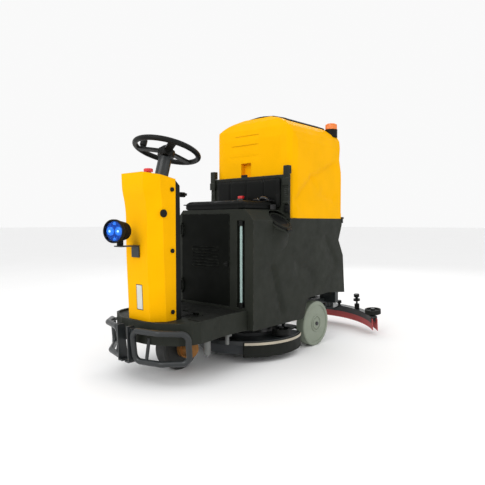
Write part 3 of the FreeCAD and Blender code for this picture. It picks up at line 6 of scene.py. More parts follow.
import bmesh
import bpy
import numpy as np
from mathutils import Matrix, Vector


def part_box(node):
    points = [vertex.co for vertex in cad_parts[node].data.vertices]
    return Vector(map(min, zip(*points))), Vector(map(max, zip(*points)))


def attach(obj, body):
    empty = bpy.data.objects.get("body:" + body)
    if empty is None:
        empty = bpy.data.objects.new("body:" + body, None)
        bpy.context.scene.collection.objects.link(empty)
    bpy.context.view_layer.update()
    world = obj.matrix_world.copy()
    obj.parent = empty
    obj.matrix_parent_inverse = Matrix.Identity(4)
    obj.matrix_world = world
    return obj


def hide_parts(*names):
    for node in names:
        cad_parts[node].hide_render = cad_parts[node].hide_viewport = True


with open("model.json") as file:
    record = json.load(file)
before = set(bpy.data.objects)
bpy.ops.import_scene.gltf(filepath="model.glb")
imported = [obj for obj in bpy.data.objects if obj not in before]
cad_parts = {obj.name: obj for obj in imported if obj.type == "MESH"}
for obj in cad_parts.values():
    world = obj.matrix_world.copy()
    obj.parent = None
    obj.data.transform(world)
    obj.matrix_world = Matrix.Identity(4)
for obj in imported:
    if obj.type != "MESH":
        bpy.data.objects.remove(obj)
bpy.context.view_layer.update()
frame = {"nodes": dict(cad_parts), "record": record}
nodes = frame["nodes"]
scene = bpy.context.scene
X = Vector((1, 0, 0))
Y = Vector((0, 1, 0))
Z = Vector((0, 0, 1))


# ---- node helpers ---------------------------------------------------------
def link(tree, source, target):
    tree.links.new(source, target)


def noise(tree, coords, scale, detail=3.0, stretch=None):
    """Noise factor in object space; stretch scales the axes first."""
    if stretch:
        mapping = tree.nodes.new("ShaderNodeMapping")
        mapping.inputs["Scale"].default_value = stretch
        link(tree, coords, mapping.inputs["Vector"])
        coords = mapping.outputs["Vector"]
    node = tree.nodes.new("ShaderNodeTexNoise")
    node.inputs["Scale"].default_value = scale
    node.inputs["Detail"].default_value = detail
    link(tree, coords, node.inputs["Vector"])
    return node.outputs["Fac"]


def ranged(tree, value, low, high, to_low, to_high):
    node = tree.nodes.new("ShaderNodeMapRange")
    node.inputs["From Min"].default_value = low
    node.inputs["From Max"].default_value = high
    node.inputs["To Min"].default_value = to_low
    node.inputs["To Max"].default_value = to_high
    link(tree, value, node.inputs["Value"])
    return node.outputs["Result"]


def mixed(tree, factor, first, second):
    """Colour mix; first and second are colours or sockets."""
    node = tree.nodes.new("ShaderNodeMix")
    node.data_type = "RGBA"
    link(tree, factor, node.inputs["Factor"])
    for socket, value in ((node.inputs[6], first), (node.inputs[7], second)):
        if isinstance(value, tuple):
            socket.default_value = value + (1.0,)
        else:
            link(tree, value, socket)
    return node.outputs[2]


def shade(colour, by):
    """A colour made lighter or darker, kept inside the valid range."""
    return tuple(min(1.0, max(0.0, c * by)) for c in colour)


def edge_mask(tree, radius):
    """Rounded normal of sharp edges, and how far it leans from the true normal."""
    bevel = tree.nodes.new("ShaderNodeBevel")
    bevel.samples = 4
    bevel.inputs["Radius"].default_value = radius
    geometry = tree.nodes.new("ShaderNodeNewGeometry")
    dot = tree.nodes.new("ShaderNodeVectorMath")
    dot.operation = "DOT_PRODUCT"
    link(tree, bevel.outputs["Normal"], dot.inputs[0])
    link(tree, geometry.outputs["Normal"], dot.inputs[1])
    return bevel.outputs["Normal"], ranged(tree, dot.outputs["Value"], 0.985, 0.80, 0.0, 1.0)


def bumped(tree, shader, height, strength, distance, normal=None, invert=False):
    """Height turned into the shader's normal."""
    bump = tree.nodes.new("ShaderNodeBump")
    bump.invert = invert
    bump.inputs["Strength"].default_value = strength
    bump.inputs["Distance"].default_value = distance
    link(tree, height, bump.inputs["Height"])
    if normal is not None:
        link(tree, normal, bump.inputs["Normal"])
    link(tree, bump.outputs["Normal"], shader.inputs["Normal"])


def surface(name, colour, rough, metallic=0.0, vary=0.10, grain=0.25, grain_size=0.0012, spread=0.08,
            edge_wear_and_highlight=None, bevel=0.0015, coat=0.0, streak=None, **sockets):
    """Procedural finish: uneven colour and gloss, fine moulded or cast grain, sharp edges lightened partly as
    wear and partly as a painted highlight.
    """
    material = bpy.data.materials.new(name)
    material.use_nodes = True
    tree = material.node_tree
    shader = tree.nodes["Principled BSDF"]
    coords = tree.nodes.new("ShaderNodeTexCoord").outputs["Object"]
    cloud = noise(tree, coords, 9.0, 4.0, streak)
    patches = ranged(tree, cloud, 0.3, 0.7, 0.0, 1.0)
    base = mixed(tree, patches, shade(colour, 1 - vary), shade(colour, 1 + vary))
    normal, edges = edge_mask(tree, bevel)
    # Sharp edges mixed in patches toward a lighter colour: partly edge wear, partly a painted highlight where
    # edges catch the light.
    if edge_wear_and_highlight:
        patchy = noise(tree, coords, 60.0, 4.0)
        amount = tree.nodes.new("ShaderNodeMath")
        amount.operation = "MULTIPLY"
        link(tree, edges, amount.inputs[0])
        link(tree, ranged(tree, patchy, 0.42, 0.62, 0.05, 0.75), amount.inputs[1])
        base = mixed(tree, amount.outputs["Value"], base, edge_wear_and_highlight)
    link(tree, base, shader.inputs["Base Color"])
    smudge = noise(tree, coords, 23.0, 5.0)
    link(tree, ranged(tree, smudge, 0.3, 0.7, max(0.02, rough - spread), min(1.0, rough + spread)),
         shader.inputs["Roughness"])
    bumped(tree, shader, noise(tree, coords, 1 / grain_size, 2.0), grain, grain_size * 0.4, normal)
    shader.inputs["Metallic"].default_value = metallic
    shader.inputs["Coat Weight"].default_value = coat
    shader.inputs["Coat Roughness"].default_value = 0.15
    for socket, value in sockets.items():
        shader.inputs[socket.replace("_", " ")].default_value = value
    return material


def woven(name, colour, pitch):
    """Webbing: fine ribs across the strap with a softer weave along it."""
    material = surface(name, colour, 0.55, vary=0.18, grain=0.3)
    tree = material.node_tree
    shader = tree.nodes["Principled BSDF"]
    coords = tree.nodes.new("ShaderNodeTexCoord").outputs["Object"]
    wave = tree.nodes.new("ShaderNodeTexWave")
    wave.inputs["Scale"].default_value = 1 / pitch
    wave.inputs["Distortion"].default_value = 0.6
    wave.bands_direction = "DIAGONAL"
    link(tree, coords, wave.inputs["Vector"])
    bumped(tree, shader, wave.outputs["Fac"], 0.7, 0.0006)
    return material


def pebbled(name, colour, rough, pebble):
    """Vinyl or rubber with a pebbled grain, each pebble a Voronoi cell."""
    material = surface(name, colour, rough, vary=0.14, grain=0.2, grain_size=0.0008, Specular_IOR_Level=0.1)
    tree = material.node_tree
    shader = tree.nodes["Principled BSDF"]
    coords = tree.nodes.new("ShaderNodeTexCoord").outputs["Object"]
    cells = tree.nodes.new("ShaderNodeTexVoronoi")
    cells.inputs["Scale"].default_value = 1 / pebble
    link(tree, coords, cells.inputs["Vector"])
    bumped(tree, shader, cells.outputs["Distance"], 0.45, pebble * 0.25, invert=True)
    return material


# ---- materials ------------------------------------------------------------
yellow = (0.88, 0.425, 0.0001)
finishes = {
    "yellow_shell": surface("yellow_shell", yellow, 0.50, vary=0.035, grain=0.16, grain_size=0.0016,
                            edge_wear_and_highlight=(0.90, 0.50, 0.03), bevel=0.004, Specular_IOR_Level=0.03),
    "dark_shell": surface("dark_shell", (0.0165, 0.0188, 0.0140), 0.58, vary=0.14, grain=0.34,
                          grain_size=0.0014, edge_wear_and_highlight=(0.085, 0.09, 0.08), bevel=0.004, Specular_IOR_Level=0.17),
    "black_plastic": surface("black_plastic", (0.006, 0.0066, 0.0058), 0.48, vary=0.2, grain=0.25,
                             edge_wear_and_highlight=(0.05, 0.05, 0.05), Specular_IOR_Level=0.14),
    "black_metal": surface("black_metal", (0.014, 0.017, 0.018), 0.40, vary=0.2, grain=0.12,
                           edge_wear_and_highlight=(0.11, 0.11, 0.11), coat=0.15, Specular_IOR_Level=0.4),
    "steel": surface("steel", (0.42, 0.42, 0.43), 0.33, metallic=1.0, vary=0.15, grain=0.1,
                     edge_wear_and_highlight=(0.65, 0.65, 0.65), streak=(6, 1, 1)),
    "rubber": surface("rubber", (0.010, 0.011, 0.009), 0.62, vary=0.22, grain=0.4, grain_size=0.0018,
                      Specular_IOR_Level=0.15),
    "vinyl": pebbled("vinyl", (0.005, 0.0055, 0.0050), 0.46, 0.0022),
    "wheel_poly": surface("wheel_poly", (0.225, 0.255, 0.200), 0.50, vary=0.07, grain=0.2,
                          edge_wear_and_highlight=(0.36, 0.40, 0.33), Specular_IOR_Level=0.3),
    "tyre": surface("tyre", (0.020, 0.021, 0.019), 0.60, vary=0.2, grain=0.35),
    "squeegee_red": surface("squeegee_red", (0.42, 0.060, 0.058), 0.5, vary=0.12, grain=0.15,
                            Subsurface_Weight=0.1),
    "sight": surface("sight", (0.34, 0.47, 0.44), 0.24, vary=0.04, grain=0.03, coat=0.4),
    "amber": surface("amber", (0.80, 0.22, 0.02), 0.16, vary=0.08, grain=0.05, Transmission_Weight=0.35,
                     Emission_Color=(1.0, 0.28, 0.04, 1.0), Emission_Strength=0.12),
    "blue_lens": surface("blue_lens", (0.10, 0.30, 0.85), 0.06, vary=0.10, grain=0.02,
                         Transmission_Weight=0.85, IOR=1.35),
    "red_button": surface("red_button", (0.62, 0.012, 0.016), 0.30, vary=0.08, grain=0.1, coat=0.3),
    "brass": surface("brass", (0.30, 0.135, 0.035), 0.42, metallic=0.7, vary=0.3, grain=0.25),
    "aluminium": surface("aluminium", (0.16, 0.165, 0.16), 0.42, metallic=0.6, vary=0.2, grain=0.25),
    "band": surface("band", (0.47, 0.42, 0.33), 0.45, metallic=0.3, vary=0.18, grain=0.2,
                    edge_wear_and_highlight=(0.7, 0.66, 0.55)),
    "bristle": surface("bristle", (0.05, 0.055, 0.06), 0.7, vary=0.3, grain=0.8, grain_size=0.0015),
}
webbing = woven("webbing", (0.012, 0.012, 0.013), 0.0030)
gloss_black = surface("gloss_black", (0.006, 0.006, 0.007), 0.14, vary=0.2, grain=0.05, spread=0.05,
                      edge_wear_and_highlight=(0.05, 0.05, 0.05))
chrome = surface("chrome", (0.75, 0.75, 0.76), 0.14, metallic=1.0, vary=0.06, grain=0.03, spread=0.05)
pale_strip = surface("pale_strip", (0.62, 0.62, 0.56), 0.40, vary=0.10, grain=0.1)
clear_lens = surface("clear_lens", (0.55, 0.75, 1.0), 0.04, vary=0.03, grain=0.01, spread=0.02,
                     Transmission_Weight=1.0, IOR=1.15)
led_blue = surface("led_blue", (0.08, 0.30, 0.85), 0.2, vary=0.05, grain=0.05,
                   Emission_Color=(0.05, 0.26, 0.80, 1.0), Emission_Strength=0.45)
# Glowing white for the middle of the lamp's round optics: a painted highlight on the lenses, not a lit
# emitter.
painted_lens_glint = surface("painted_lens_glint", (0.8, 0.9, 1.0), 0.2, vary=0.05, grain=0.05,
                    Emission_Color=(0.65, 0.82, 1.0, 1.0), Emission_Strength=1.3)
blue_plate = surface("blue_plate", (0.02, 0.10, 0.42), 0.25, vary=0.25, grain=0.1, metallic=0.4,
                     Emission_Color=(0.01, 0.07, 0.30, 1.0), Emission_Strength=0.2)
thread = surface("thread", (0.05, 0.05, 0.052), 0.7, vary=0.2, grain=0.5)

slot_of = {part["node"]: part["material_slot"] for part in frame["record"]["subparts"]}
near_black = surface("near_black", (0.0042, 0.0050, 0.0038), 0.60, vary=0.2, grain=0.34, grain_size=0.0014,
                     edge_wear_and_highlight=(0.100, 0.108, 0.092), bevel=0.003, Specular_IOR_Level=0.06)
special = {"service_panel": near_black, "fill_neck": finishes["dark_shell"]}
for node_name, cad_object in nodes.items():
    cad_object.data.materials.clear()
    cad_object.data.materials.append(special.get(node_name, finishes[slot_of[node_name]]))


# ---- mesh helpers ---------------------------------------------------------
def mark_sharp(form, limit):
    """Smooth faces, with the edges that turn more than limit degrees kept sharp."""
    for face in form.faces:
        face.smooth = True
    for edge in form.edges:
        if len(edge.link_faces) == 2:
            edge.smooth = edge.calc_face_angle(0.0) < math.radians(limit)


def finished(name, form, body, material, limit=40):
    """Turn a bmesh into a piece that rides on a body."""
    bmesh.ops.recalc_face_normals(form, faces=form.faces)
    mark_sharp(form, limit)
    mesh = bpy.data.meshes.new(name)
    form.to_mesh(mesh)
    form.free()
    piece = bpy.data.objects.new(name, mesh)
    scene.collection.objects.link(piece)
    mesh.materials.append(material)
    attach(piece, body)
    return piece


def ring_of(form, outline):
    return [form.verts.new(point) for point in outline]


def bridge(form, first, second):
    """Quads between two closed rings of vertices."""
    count = len(first)
    for index in range(count):
        after = (index + 1) % count
        form.faces.new((first[index], first[after], second[after], second[index]))


def skin(form, rings):
    """Join rings of vertices one to the next and close both ends."""
    for first, second in zip(rings, rings[1:]):
        bridge(form, first, second)
    form.faces.new(list(reversed(rings[0])))
    form.faces.new(rings[-1])


def loft(rings):
    """Skin over closed rings of equal length."""
    form = bmesh.new()
    skin(form, [ring_of(form, outline) for outline in rings])
    return form


def turns(count):
    """Angles of count even steps round a circle."""
    return [2 * math.pi * k / count for k in range(count)]


def frame_of(axis):
    """Two unit directions square to an axis."""
    axis = Vector(axis).normalized()
    side = axis.cross(Z if abs(axis.z) < 0.9 else X).normalized()
    return side, axis.cross(side).normalized()


def lathe(profile, centre, axis, segments=48):
    """Surface of revolution; profile holds (radius, distance along the axis) from axis to axis."""
    side, up = frame_of(axis)
    axis = Vector(axis).normalized()
    form = bmesh.new()
    rings = []
    for radius, along in profile:
        middle = Vector(centre) + axis * along
        if radius < 1e-6:
            rings.append([form.verts.new(middle)])
            continue
        rings.append(ring_of(form, [middle + (side * math.cos(a) + up * math.sin(a)) * radius
                                    for a in turns(segments)]))
    for first, second in zip(rings, rings[1:]):
        if len(first) == 1 and len(second) == 1:
            continue
        if len(first) == 1:
            for k in range(segments):
                form.faces.new((first[0], second[k], second[(k + 1) % segments]))
        elif len(second) == 1:
            for k in range(segments):
                form.faces.new((first[k], first[(k + 1) % segments], second[0]))
        else:
            bridge(form, first, second)
    return form


def tube(points, radius, closed=False, sides=12):
    """Round bar along points."""
    form = bmesh.new()
    count = len(points)
    rings = []
    normal = None
    for index, point in enumerate(points):
        before = points[index - 1] if closed or index else point
        after = points[(index + 1) % count] if closed or index < count - 1 else point
        along = (Vector(after) - Vector(before)).normalized()
        if normal is None:
            normal = frame_of(along)[0]
        normal = (normal - along * normal.dot(along)).normalized()
        other = along.cross(normal)
        rings.append(ring_of(form, [Vector(point) + (normal * math.cos(a) + other * math.sin(a)) * radius
                                    for a in turns(sides)]))
    if closed:
        for first, second in zip(rings, rings[1:] + rings[:1]):
            bridge(form, first, second)
    else:
        skin(form, rings)
    return form


def merged(forms):
    """Several bmeshes as one."""
    whole = bmesh.new()
    for form in forms:
        mesh = bpy.data.meshes.new("part")
        form.to_mesh(mesh)
        form.free()
        whole.from_mesh(mesh)
        bpy.data.meshes.remove(mesh)
    return whole


def rounded_plan(x0, x1, y0, y1, radius, z, steps=6):
    """Rounded rectangle at height z, as points in order."""
    points = []
    for cx, cy, start in ((x1 - radius, y1 - radius, 0), (x0 + radius, y1 - radius, 90),
                          (x0 + radius, y0 + radius, 180), (x1 - radius, y0 + radius, 270)):
        for k in range(steps + 1):
            a = math.radians(start + 90 * k / steps)
            points.append(Vector((cx + radius * math.cos(a), cy + radius * math.sin(a), z)))
    return points


def gridded(node, spacing, planes=()):
    """The CAD node's mesh, welded and cut into a grid so that its faces can be shaped."""
    form = bmesh.new()
    form.from_mesh(nodes[node].data)
    bmesh.ops.remove_doubles(form, verts=form.verts, dist=1e-6)
    low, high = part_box(node)
    cuts = list(planes)
    for axis, step in enumerate(spacing):
        if step:
            count = int((high[axis] - low[axis]) / step)
            cuts += [(axis, low[axis] + (high[axis] - low[axis]) * (k + 0.5) / count) for k in range(count)]
    for axis, place in cuts:
        normal = [0.0, 0.0, 0.0]
        normal[axis] = 1.0
        where = [0.0, 0.0, 0.0]
        where[axis] = place
        bmesh.ops.bisect_plane(form, geom=form.verts[:] + form.edges[:] + form.faces[:], dist=1e-7,
                               plane_co=where, plane_no=normal)
    return form


def smooth_step(value, low, high):
    t = min(1.0, max(0.0, (value - low) / (high - low)))
    return t * t * (3 - 2 * t)


def crease(u, v, start, end, depth, width, fade):
    """Pressed fold along a line in a face: steep on one side of the line and soft on the other."""
    line = (end[0] - start[0], end[1] - start[1])
    length = math.hypot(*line)
    along = ((u - start[0]) * line[0] + (v - start[1]) * line[1]) / length ** 2
    across = ((u - start[0]) * line[1] - (v - start[1]) * line[0]) / length
    ends = smooth_step(along, 0.0, fade) * (1 - smooth_step(along, 1 - fade, 1.0))
    fall = math.exp(-across / width) if across > 0 else math.exp(across / (width * 0.16))
    return depth * ends * fall


def press_folds(point, folds):
    """Push a point of a side wall inward by every fold; a fold is start, end, depth, width and fade."""
    way = -1 if point.x > 0 else 1
    point.x += way * sum(crease(point.y, point.z, *fold) for fold in folds)


def moulding(node, name, body, slot, spacing, shape, limit, planes=()):
    """Stand in for a CAD shell with the same shell, its grid points moved by shape."""
    form = gridded(node, spacing, planes)
    for vertex in form.verts:
        vertex.co = shape(vertex.co)
    piece = finished(name, form, body, finishes[slot], limit)
    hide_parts(node)


# ---- recovery tank --------------------------------------------------------
tank_low, tank_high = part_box("recovery_tank")
tank_side_x = tank_high.x
louvres = ((1.102, -0.109, 0.059), (1.053, -0.136, 0.059), (1.001, -0.146, 0.063))
louvre_step = 0.0032
louvre_height = 0.034
louvre_end = 0.012
louvre_zone_z = 0.97
tank_fold_z = (0.68, 1.15)
tank_folds = (((0.02, 0.745), (0.20, 0.905), 0.0125, 0.048, 0.12),
              ((0.15, 0.868), (0.43, 0.985), 0.0115, 0.048, 0.2),
              ((0.44, 0.765), (0.24, 0.80), 0.0100, 0.045, 0.3))


def tank_shape(point):
    """Pressed louvre lines on the front, folds on both sides."""
    if point.y < tank_low.y + 0.075 and point.z > louvre_zone_z:
        for z, x0, x1 in louvres:
            inside = smooth_step(point.x, x0, x0 + louvre_end)
            inside *= 1 - smooth_step(point.x, x1 - louvre_end, x1)
            below = z - point.z
            if 0 <= below < louvre_height:
                point.y += louvre_step * inside * (1 - below / louvre_height)
    if abs(point.x) > tank_side_x - 0.012 and tank_fold_z[0] < point.z < tank_fold_z[1]:
        press_folds(point, tank_folds)
    return point


def make_tank():
    planes = [(2, z - drop) for z, _, _ in louvres for drop in (-0.0006, 0.0, 0.009, 0.018, louvre_height)]
    for _, x0, x1 in louvres:
        planes += [(0, x) for x in (x0, x0 + louvre_end, x1 - louvre_end, x1)]
    moulding("recovery_tank", "tank_moulding", "tank", "yellow_shell", (0.0, 0.012, 0.012),
             tank_shape, 32, planes)


# ---- lower body -----------------------------------------------------------
body_side_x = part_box("body_shell")[1].x
shoulder_z = 0.66
body_folds = (((-0.150, 0.475), (-0.050, 0.195), 0.0130, 0.05, 0.12),
              ((0.02, 0.462), (0.262, 0.375), 0.0120, 0.045, 0.25),
              ((0.30, 0.60), (0.46, 0.40), 0.0085, 0.045, 0.25))


def body_shape(point):
    """Folds pressed into the flanks."""
    if abs(point.x) > body_side_x - 0.007 and point.z < shoulder_z:
        press_folds(point, body_folds)
    return point


def make_body():
    moulding("body_shell", "body_moulding", "chassis", "dark_shell", (0.0, 0.014, 0.014), body_shape, 32)


# ---- cushions and belt ----------------------------------------------------
def puffed(form, cap, voxel=0.005, pressure=4.0, frames=20):
    """Cloth swelling of a closed form, each point kept within cap of where it started."""
    mesh = bpy.data.meshes.new("puff")
    form.to_mesh(mesh)
    form.free()
    soft = bpy.data.objects.new("puff", mesh)
    scene.collection.objects.link(soft)
    remesh = soft.modifiers.new("remesh", "REMESH")
    remesh.mode = "VOXEL"
    remesh.voxel_size = voxel
    bpy.context.view_layer.update()
    soft.data = bpy.data.meshes.new_from_object(soft.evaluated_get(bpy.context.evaluated_depsgraph_get()))
    soft.modifiers.clear()
    rest = np.array([v.co for v in soft.data.vertices])
    cloth = soft.modifiers.new("cloth", "CLOTH")
    cloth.settings.quality = 4
    cloth.settings.mass = 0.3
    cloth.settings.use_pressure = True
    cloth.settings.uniform_pressure_force = pressure
    cloth.settings.effector_weights.gravity = 0
    cloth.point_cache.frame_start = 1
    cloth.point_cache.frame_end = frames
    for step in range(1, frames + 1):
        scene.frame_set(step)
    swollen = soft.evaluated_get(bpy.context.evaluated_depsgraph_get()).to_mesh()
    moved = np.array([v.co for v in swollen.vertices]) - rest
    length = np.linalg.norm(moved, axis=1, keepdims=True)
    moved *= np.minimum(1.0, cap / np.maximum(length, 1e-9))
    soft.modifiers.clear()
    scene.frame_set(1)
    soft.data.vertices.foreach_set("co", (rest + moved).astype(np.float32).ravel())
    smooth = soft.modifiers.new("fine", "SUBSURF")
    smooth.levels = 1
    bpy.context.view_layer.update()
    final = bpy.data.meshes.new_from_object(soft.evaluated_get(bpy.context.evaluated_depsgraph_get()))
    bpy.data.objects.remove(soft)
    result = bmesh.new()
    result.from_mesh(final)
    return result


def groove(value, centre, width):
    return math.exp(-((value - centre) / width) ** 2)


seat_low, seat_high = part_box("seat_cushion")
rest_low, rest_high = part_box("backrest")


def make_seat():
    """Vinyl seat pad: crowned top, rolled front edge, a sewn border and its piping."""
    inset = 0.003
    x0, x1 = seat_low.x + inset, seat_high.x - inset
    y0, y1 = seat_low.y + inset, seat_high.y - 0.004
    top = seat_high.z - 0.006
    rings = [rounded_plan(x0, x1, y0, y1, 0.026, seat_low.z + 0.002),
             rounded_plan(x0, x1, y0, y1, 0.026, top - 0.012),
             rounded_plan(x0 + 0.006, x1 - 0.006, y0 + 0.006, y1 - 0.006, 0.024, top)]
    form = puffed(loft(rings), 0.008)
    border = 0.052
    for vertex in form.verts:
        point = vertex.co
        if point.z > top - 0.012:
            across = min(point.x - seat_low.x, seat_high.x - point.x)
            along = min(point.y - seat_low.y, seat_high.y - point.y)
            point.z -= 0.0045 * groove(min(across, along), border, 0.005)
            middle = 1 - (point.x / seat_high.x) ** 2
            point.z -= 0.004 * middle * smooth_step(along, border, border + 0.05)
        point.z = max(point.z, seat_low.z + 0.0005)
    pad = finished("seat_pad", form, "chassis", finishes["vinyl"], 70)
    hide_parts("seat_cushion")
    line = rounded_plan(x0 - 0.004, x1 + 0.004, y0 - 0.004, y1 - 0.002, 0.030, seat_high.z - 0.014, 8)
    finished("seat_piping", tube(line, 0.0022, True, 10), "chassis", finishes["vinyl"], 70)


def make_backrest():
    """Upright pad with three sewn channels and a groove pressed round its border."""
    x0, x1 = rest_low.x + 0.006, rest_high.x - 0.006
    z0, z1 = rest_low.z + 0.006, rest_high.z - 0.006

    def outline(shrink, y):
        plan = rounded_plan(x0 + shrink, x1 - shrink, z0 + shrink, z1 - shrink, 0.022, 0)
        return [Vector((p.x, y, p.y)) for p in plan]
    rings = [outline(0.0, rest_high.y - 0.0005), outline(0.0, rest_low.y + 0.010),
             outline(0.005, rest_low.y + 0.005)]
    form = puffed(loft(rings), 0.005)
    channels = [rest_low.x + (rest_high.x - rest_low.x) * k / 4 for k in (1, 2, 3)]
    for vertex in form.verts:
        point = vertex.co
        if point.y < rest_high.y - 0.004:
            for place in channels:
                point.y += 0.006 * groove(point.x, place, 0.0055)
            rim = min(point.x - rest_low.x, rest_high.x - point.x,
                      point.z - rest_low.z, rest_high.z - point.z)
            point.y += 0.003 * groove(rim, 0.020, 0.004)
        point.y = min(point.y, rest_high.y - 0.0003)
    pad = finished("backrest_pad", form, "chassis", finishes["vinyl"], 70)
    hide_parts("backrest")
    heights = np.linspace(z0 + 0.012, z1 - 0.012, 24)
    seams = [tube([Vector((place, rest_low.y + 0.0075, z)) for z in heights], 0.0007, sides=6)
             for place in channels]
    finished("backrest_stitches", merged(seams), "chassis", thread, 70)


make_tank()
make_body()
make_seat()
make_backrest()


# ---- column ---------------------------------------------------------------
column_low, column_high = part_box("column_front_cover")
column_lean = 0.026
strip_x = (-0.008, 0.027)
strip_z = (0.294, 0.394)


def column_shape(point):
    """Brow that swells forward near the top of the column, with a waist under it."""
    front = smooth_step(column_low.y + 0.10 - point.y, 0.0, 0.09)
    brow = smooth_step(point.z, 0.735, 0.800)
    waist = smooth_step(point.z, 0.50, 0.68) * (1 - smooth_step(point.z, 0.69, 0.77))
    point.y += front * (0.006 * waist - 0.007 * brow)
    return point


def make_column():
    moulding("column_front_cover", "column_moulding", "chassis", "yellow_shell", (0.0, 0.015, 0.015),
             column_shape, 24)


def face_of_column(z):
    """Where the column's front face stands at height z."""
    share = (z - column_low.z) / (column_high.z - column_low.z)
    return column_low.y + column_lean * (1 - share)


def make_strip():
    """Plain pale strip in a dark frame, low on the front of the column."""
    for name, grow, proud, material in (("strip_frame", 0.003, 0.0006, finishes["black_plastic"]),
                                        ("strip_face", 0.0, 0.0011, pale_strip)):
        form = bmesh.new()
        rings = []
        for z in (strip_z[0] - grow, strip_z[1] + grow):
            y = face_of_column(z)
            rings.append([form.verts.new((x, y - step, z)) for step in (-0.0005, proud)
                          for x in (strip_x[0] - grow, strip_x[1] + grow)])
        low, high = rings
        for a, b in ((0, 1), (1, 3), (3, 2), (2, 0)):
            form.faces.new((low[a], low[b], high[b], high[a]))
        form.faces.new((low[0], low[2], low[3], low[1]))
        form.faces.new((high[0], high[1], high[3], high[2]))
        finished(name, form, "chassis", material)


# ---- lamp -----------------------------------------------------------------
lamp_yaw = math.radians(20)
lamp_way = Vector((math.sin(lamp_yaw), -math.cos(lamp_yaw), 0))
lens_low, lens_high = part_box("lamp_lens")
lamp_middle = (lens_low + lens_high) / 2
lamp_radius = 0.047
optic_spread = 0.0195
small_optic_spread = 0.031


def make_lamp():
    """Work lamp: finned casting, bezel, two round optics and two small ones behind a clear lens."""
    fins = []
    for step in range(7):
        back = -0.016 - 0.0085 * step
        radius = lamp_radius - 0.0025 - 0.0014 * step
        fins += [(0.024, back + 0.0035), (radius, back + 0.0035), (radius, back), (0.024, back)]
    profile = [(0, -0.006), (lamp_radius - 0.0055, -0.006), (lamp_radius - 0.0048, 0.0055),
               (lamp_radius - 0.0015, 0.0068), (lamp_radius, 0.0045), (lamp_radius, -0.0095)]
    casting = lathe(profile + fins + [(0.020, -0.0735), (0, -0.0735)], lamp_middle, lamp_way, 64)
    housing_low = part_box("lamp_housing")[0]
    pivot = lamp_middle - lamp_way * 0.041
    foot = lathe([(0, 0), (0.0125, 0), (0.013, 0.002), (0.013, 0.034), (0, 0.034)],
                 (pivot.x, pivot.y, housing_low.z), Z, 32)
    body = finished("lamp_casting", merged([casting, foot]), "lamp", finishes["black_plastic"],
                    35)
    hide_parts("lamp_housing")
    side = lamp_way.cross(Z).normalized()
    for name, way in (("lamp_optic_left", 1), ("lamp_optic_right", -1)):
        middle = lamp_middle + side * (optic_spread * way) - lamp_way * 0.0055
        cup = lathe([(0, 0.006), (0.008, 0.0055), (0.0155, 0.0035), (0.0178, 0.0005), (0.0178, 0), (0, 0)],
                    middle, lamp_way, 40)
        finished(name, cup, "lamp", led_blue, 50)
        # Small glowing white disc in each optic: a painted highlight on the lens.
        glint_disc = lathe([(0, 0.0072), (0.0035, 0.0068), (0.0055, 0.0050), (0, 0.0045)], middle, lamp_way, 24)
        finished(name + "_painted_glint", glint_disc, "lamp", painted_lens_glint, 50)
    dots = []
    for up in (small_optic_spread, -small_optic_spread):
        middle = lamp_middle + Z * up - lamp_way * 0.0055
        dots.append(lathe([(0, 0.004), (0.0055, 0.0030), (0.0075, 0), (0, 0)], middle, lamp_way, 24))
    finished("lamp_small_optics", merged(dots), "lamp", led_blue, 50)
    plate = lathe([(0, 0.0008), (0.039, 0.0008), (0.0395, 0), (0, 0)], lamp_middle - lamp_way * 0.0058,
                  lamp_way, 48)
    finished("lamp_reflector", plate, "lamp", blue_plate, 50)
    glass = lathe([(0, 0.0038), (0.020, 0.0034), (0.034, 0.0024), (0.0405, 0.0012), (0.0405, 0.0004),
                   (0.034, 0.0015), (0.020, 0.0025), (0, 0.0029)], lamp_middle, lamp_way, 64)
    lens = finished("lamp_glass", glass, "lamp", clear_lens, 60)
    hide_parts("lamp_lens")


# ---- latches --------------------------------------------------------------
def rounded_box(x0, x1, y0, y1, z0, z1, radius, segments=3):
    form = bmesh.new()
    bmesh.ops.create_cube(form, size=1.0)
    for vertex in form.verts:
        vertex.co = Vector(((x0 + x1) / 2 + vertex.co.x * (x1 - x0), (y0 + y1) / 2 + vertex.co.y * (y1 - y0),
                            (z0 + z1) / 2 + vertex.co.z * (z1 - z0)))
    bmesh.ops.bevel(form, geom=form.edges[:], offset=radius, segments=segments, affect="EDGES", profile=0.5)
    return form


anchor_foot_z = 0.700
anchor_rivets_z = (0.709, 0.724)


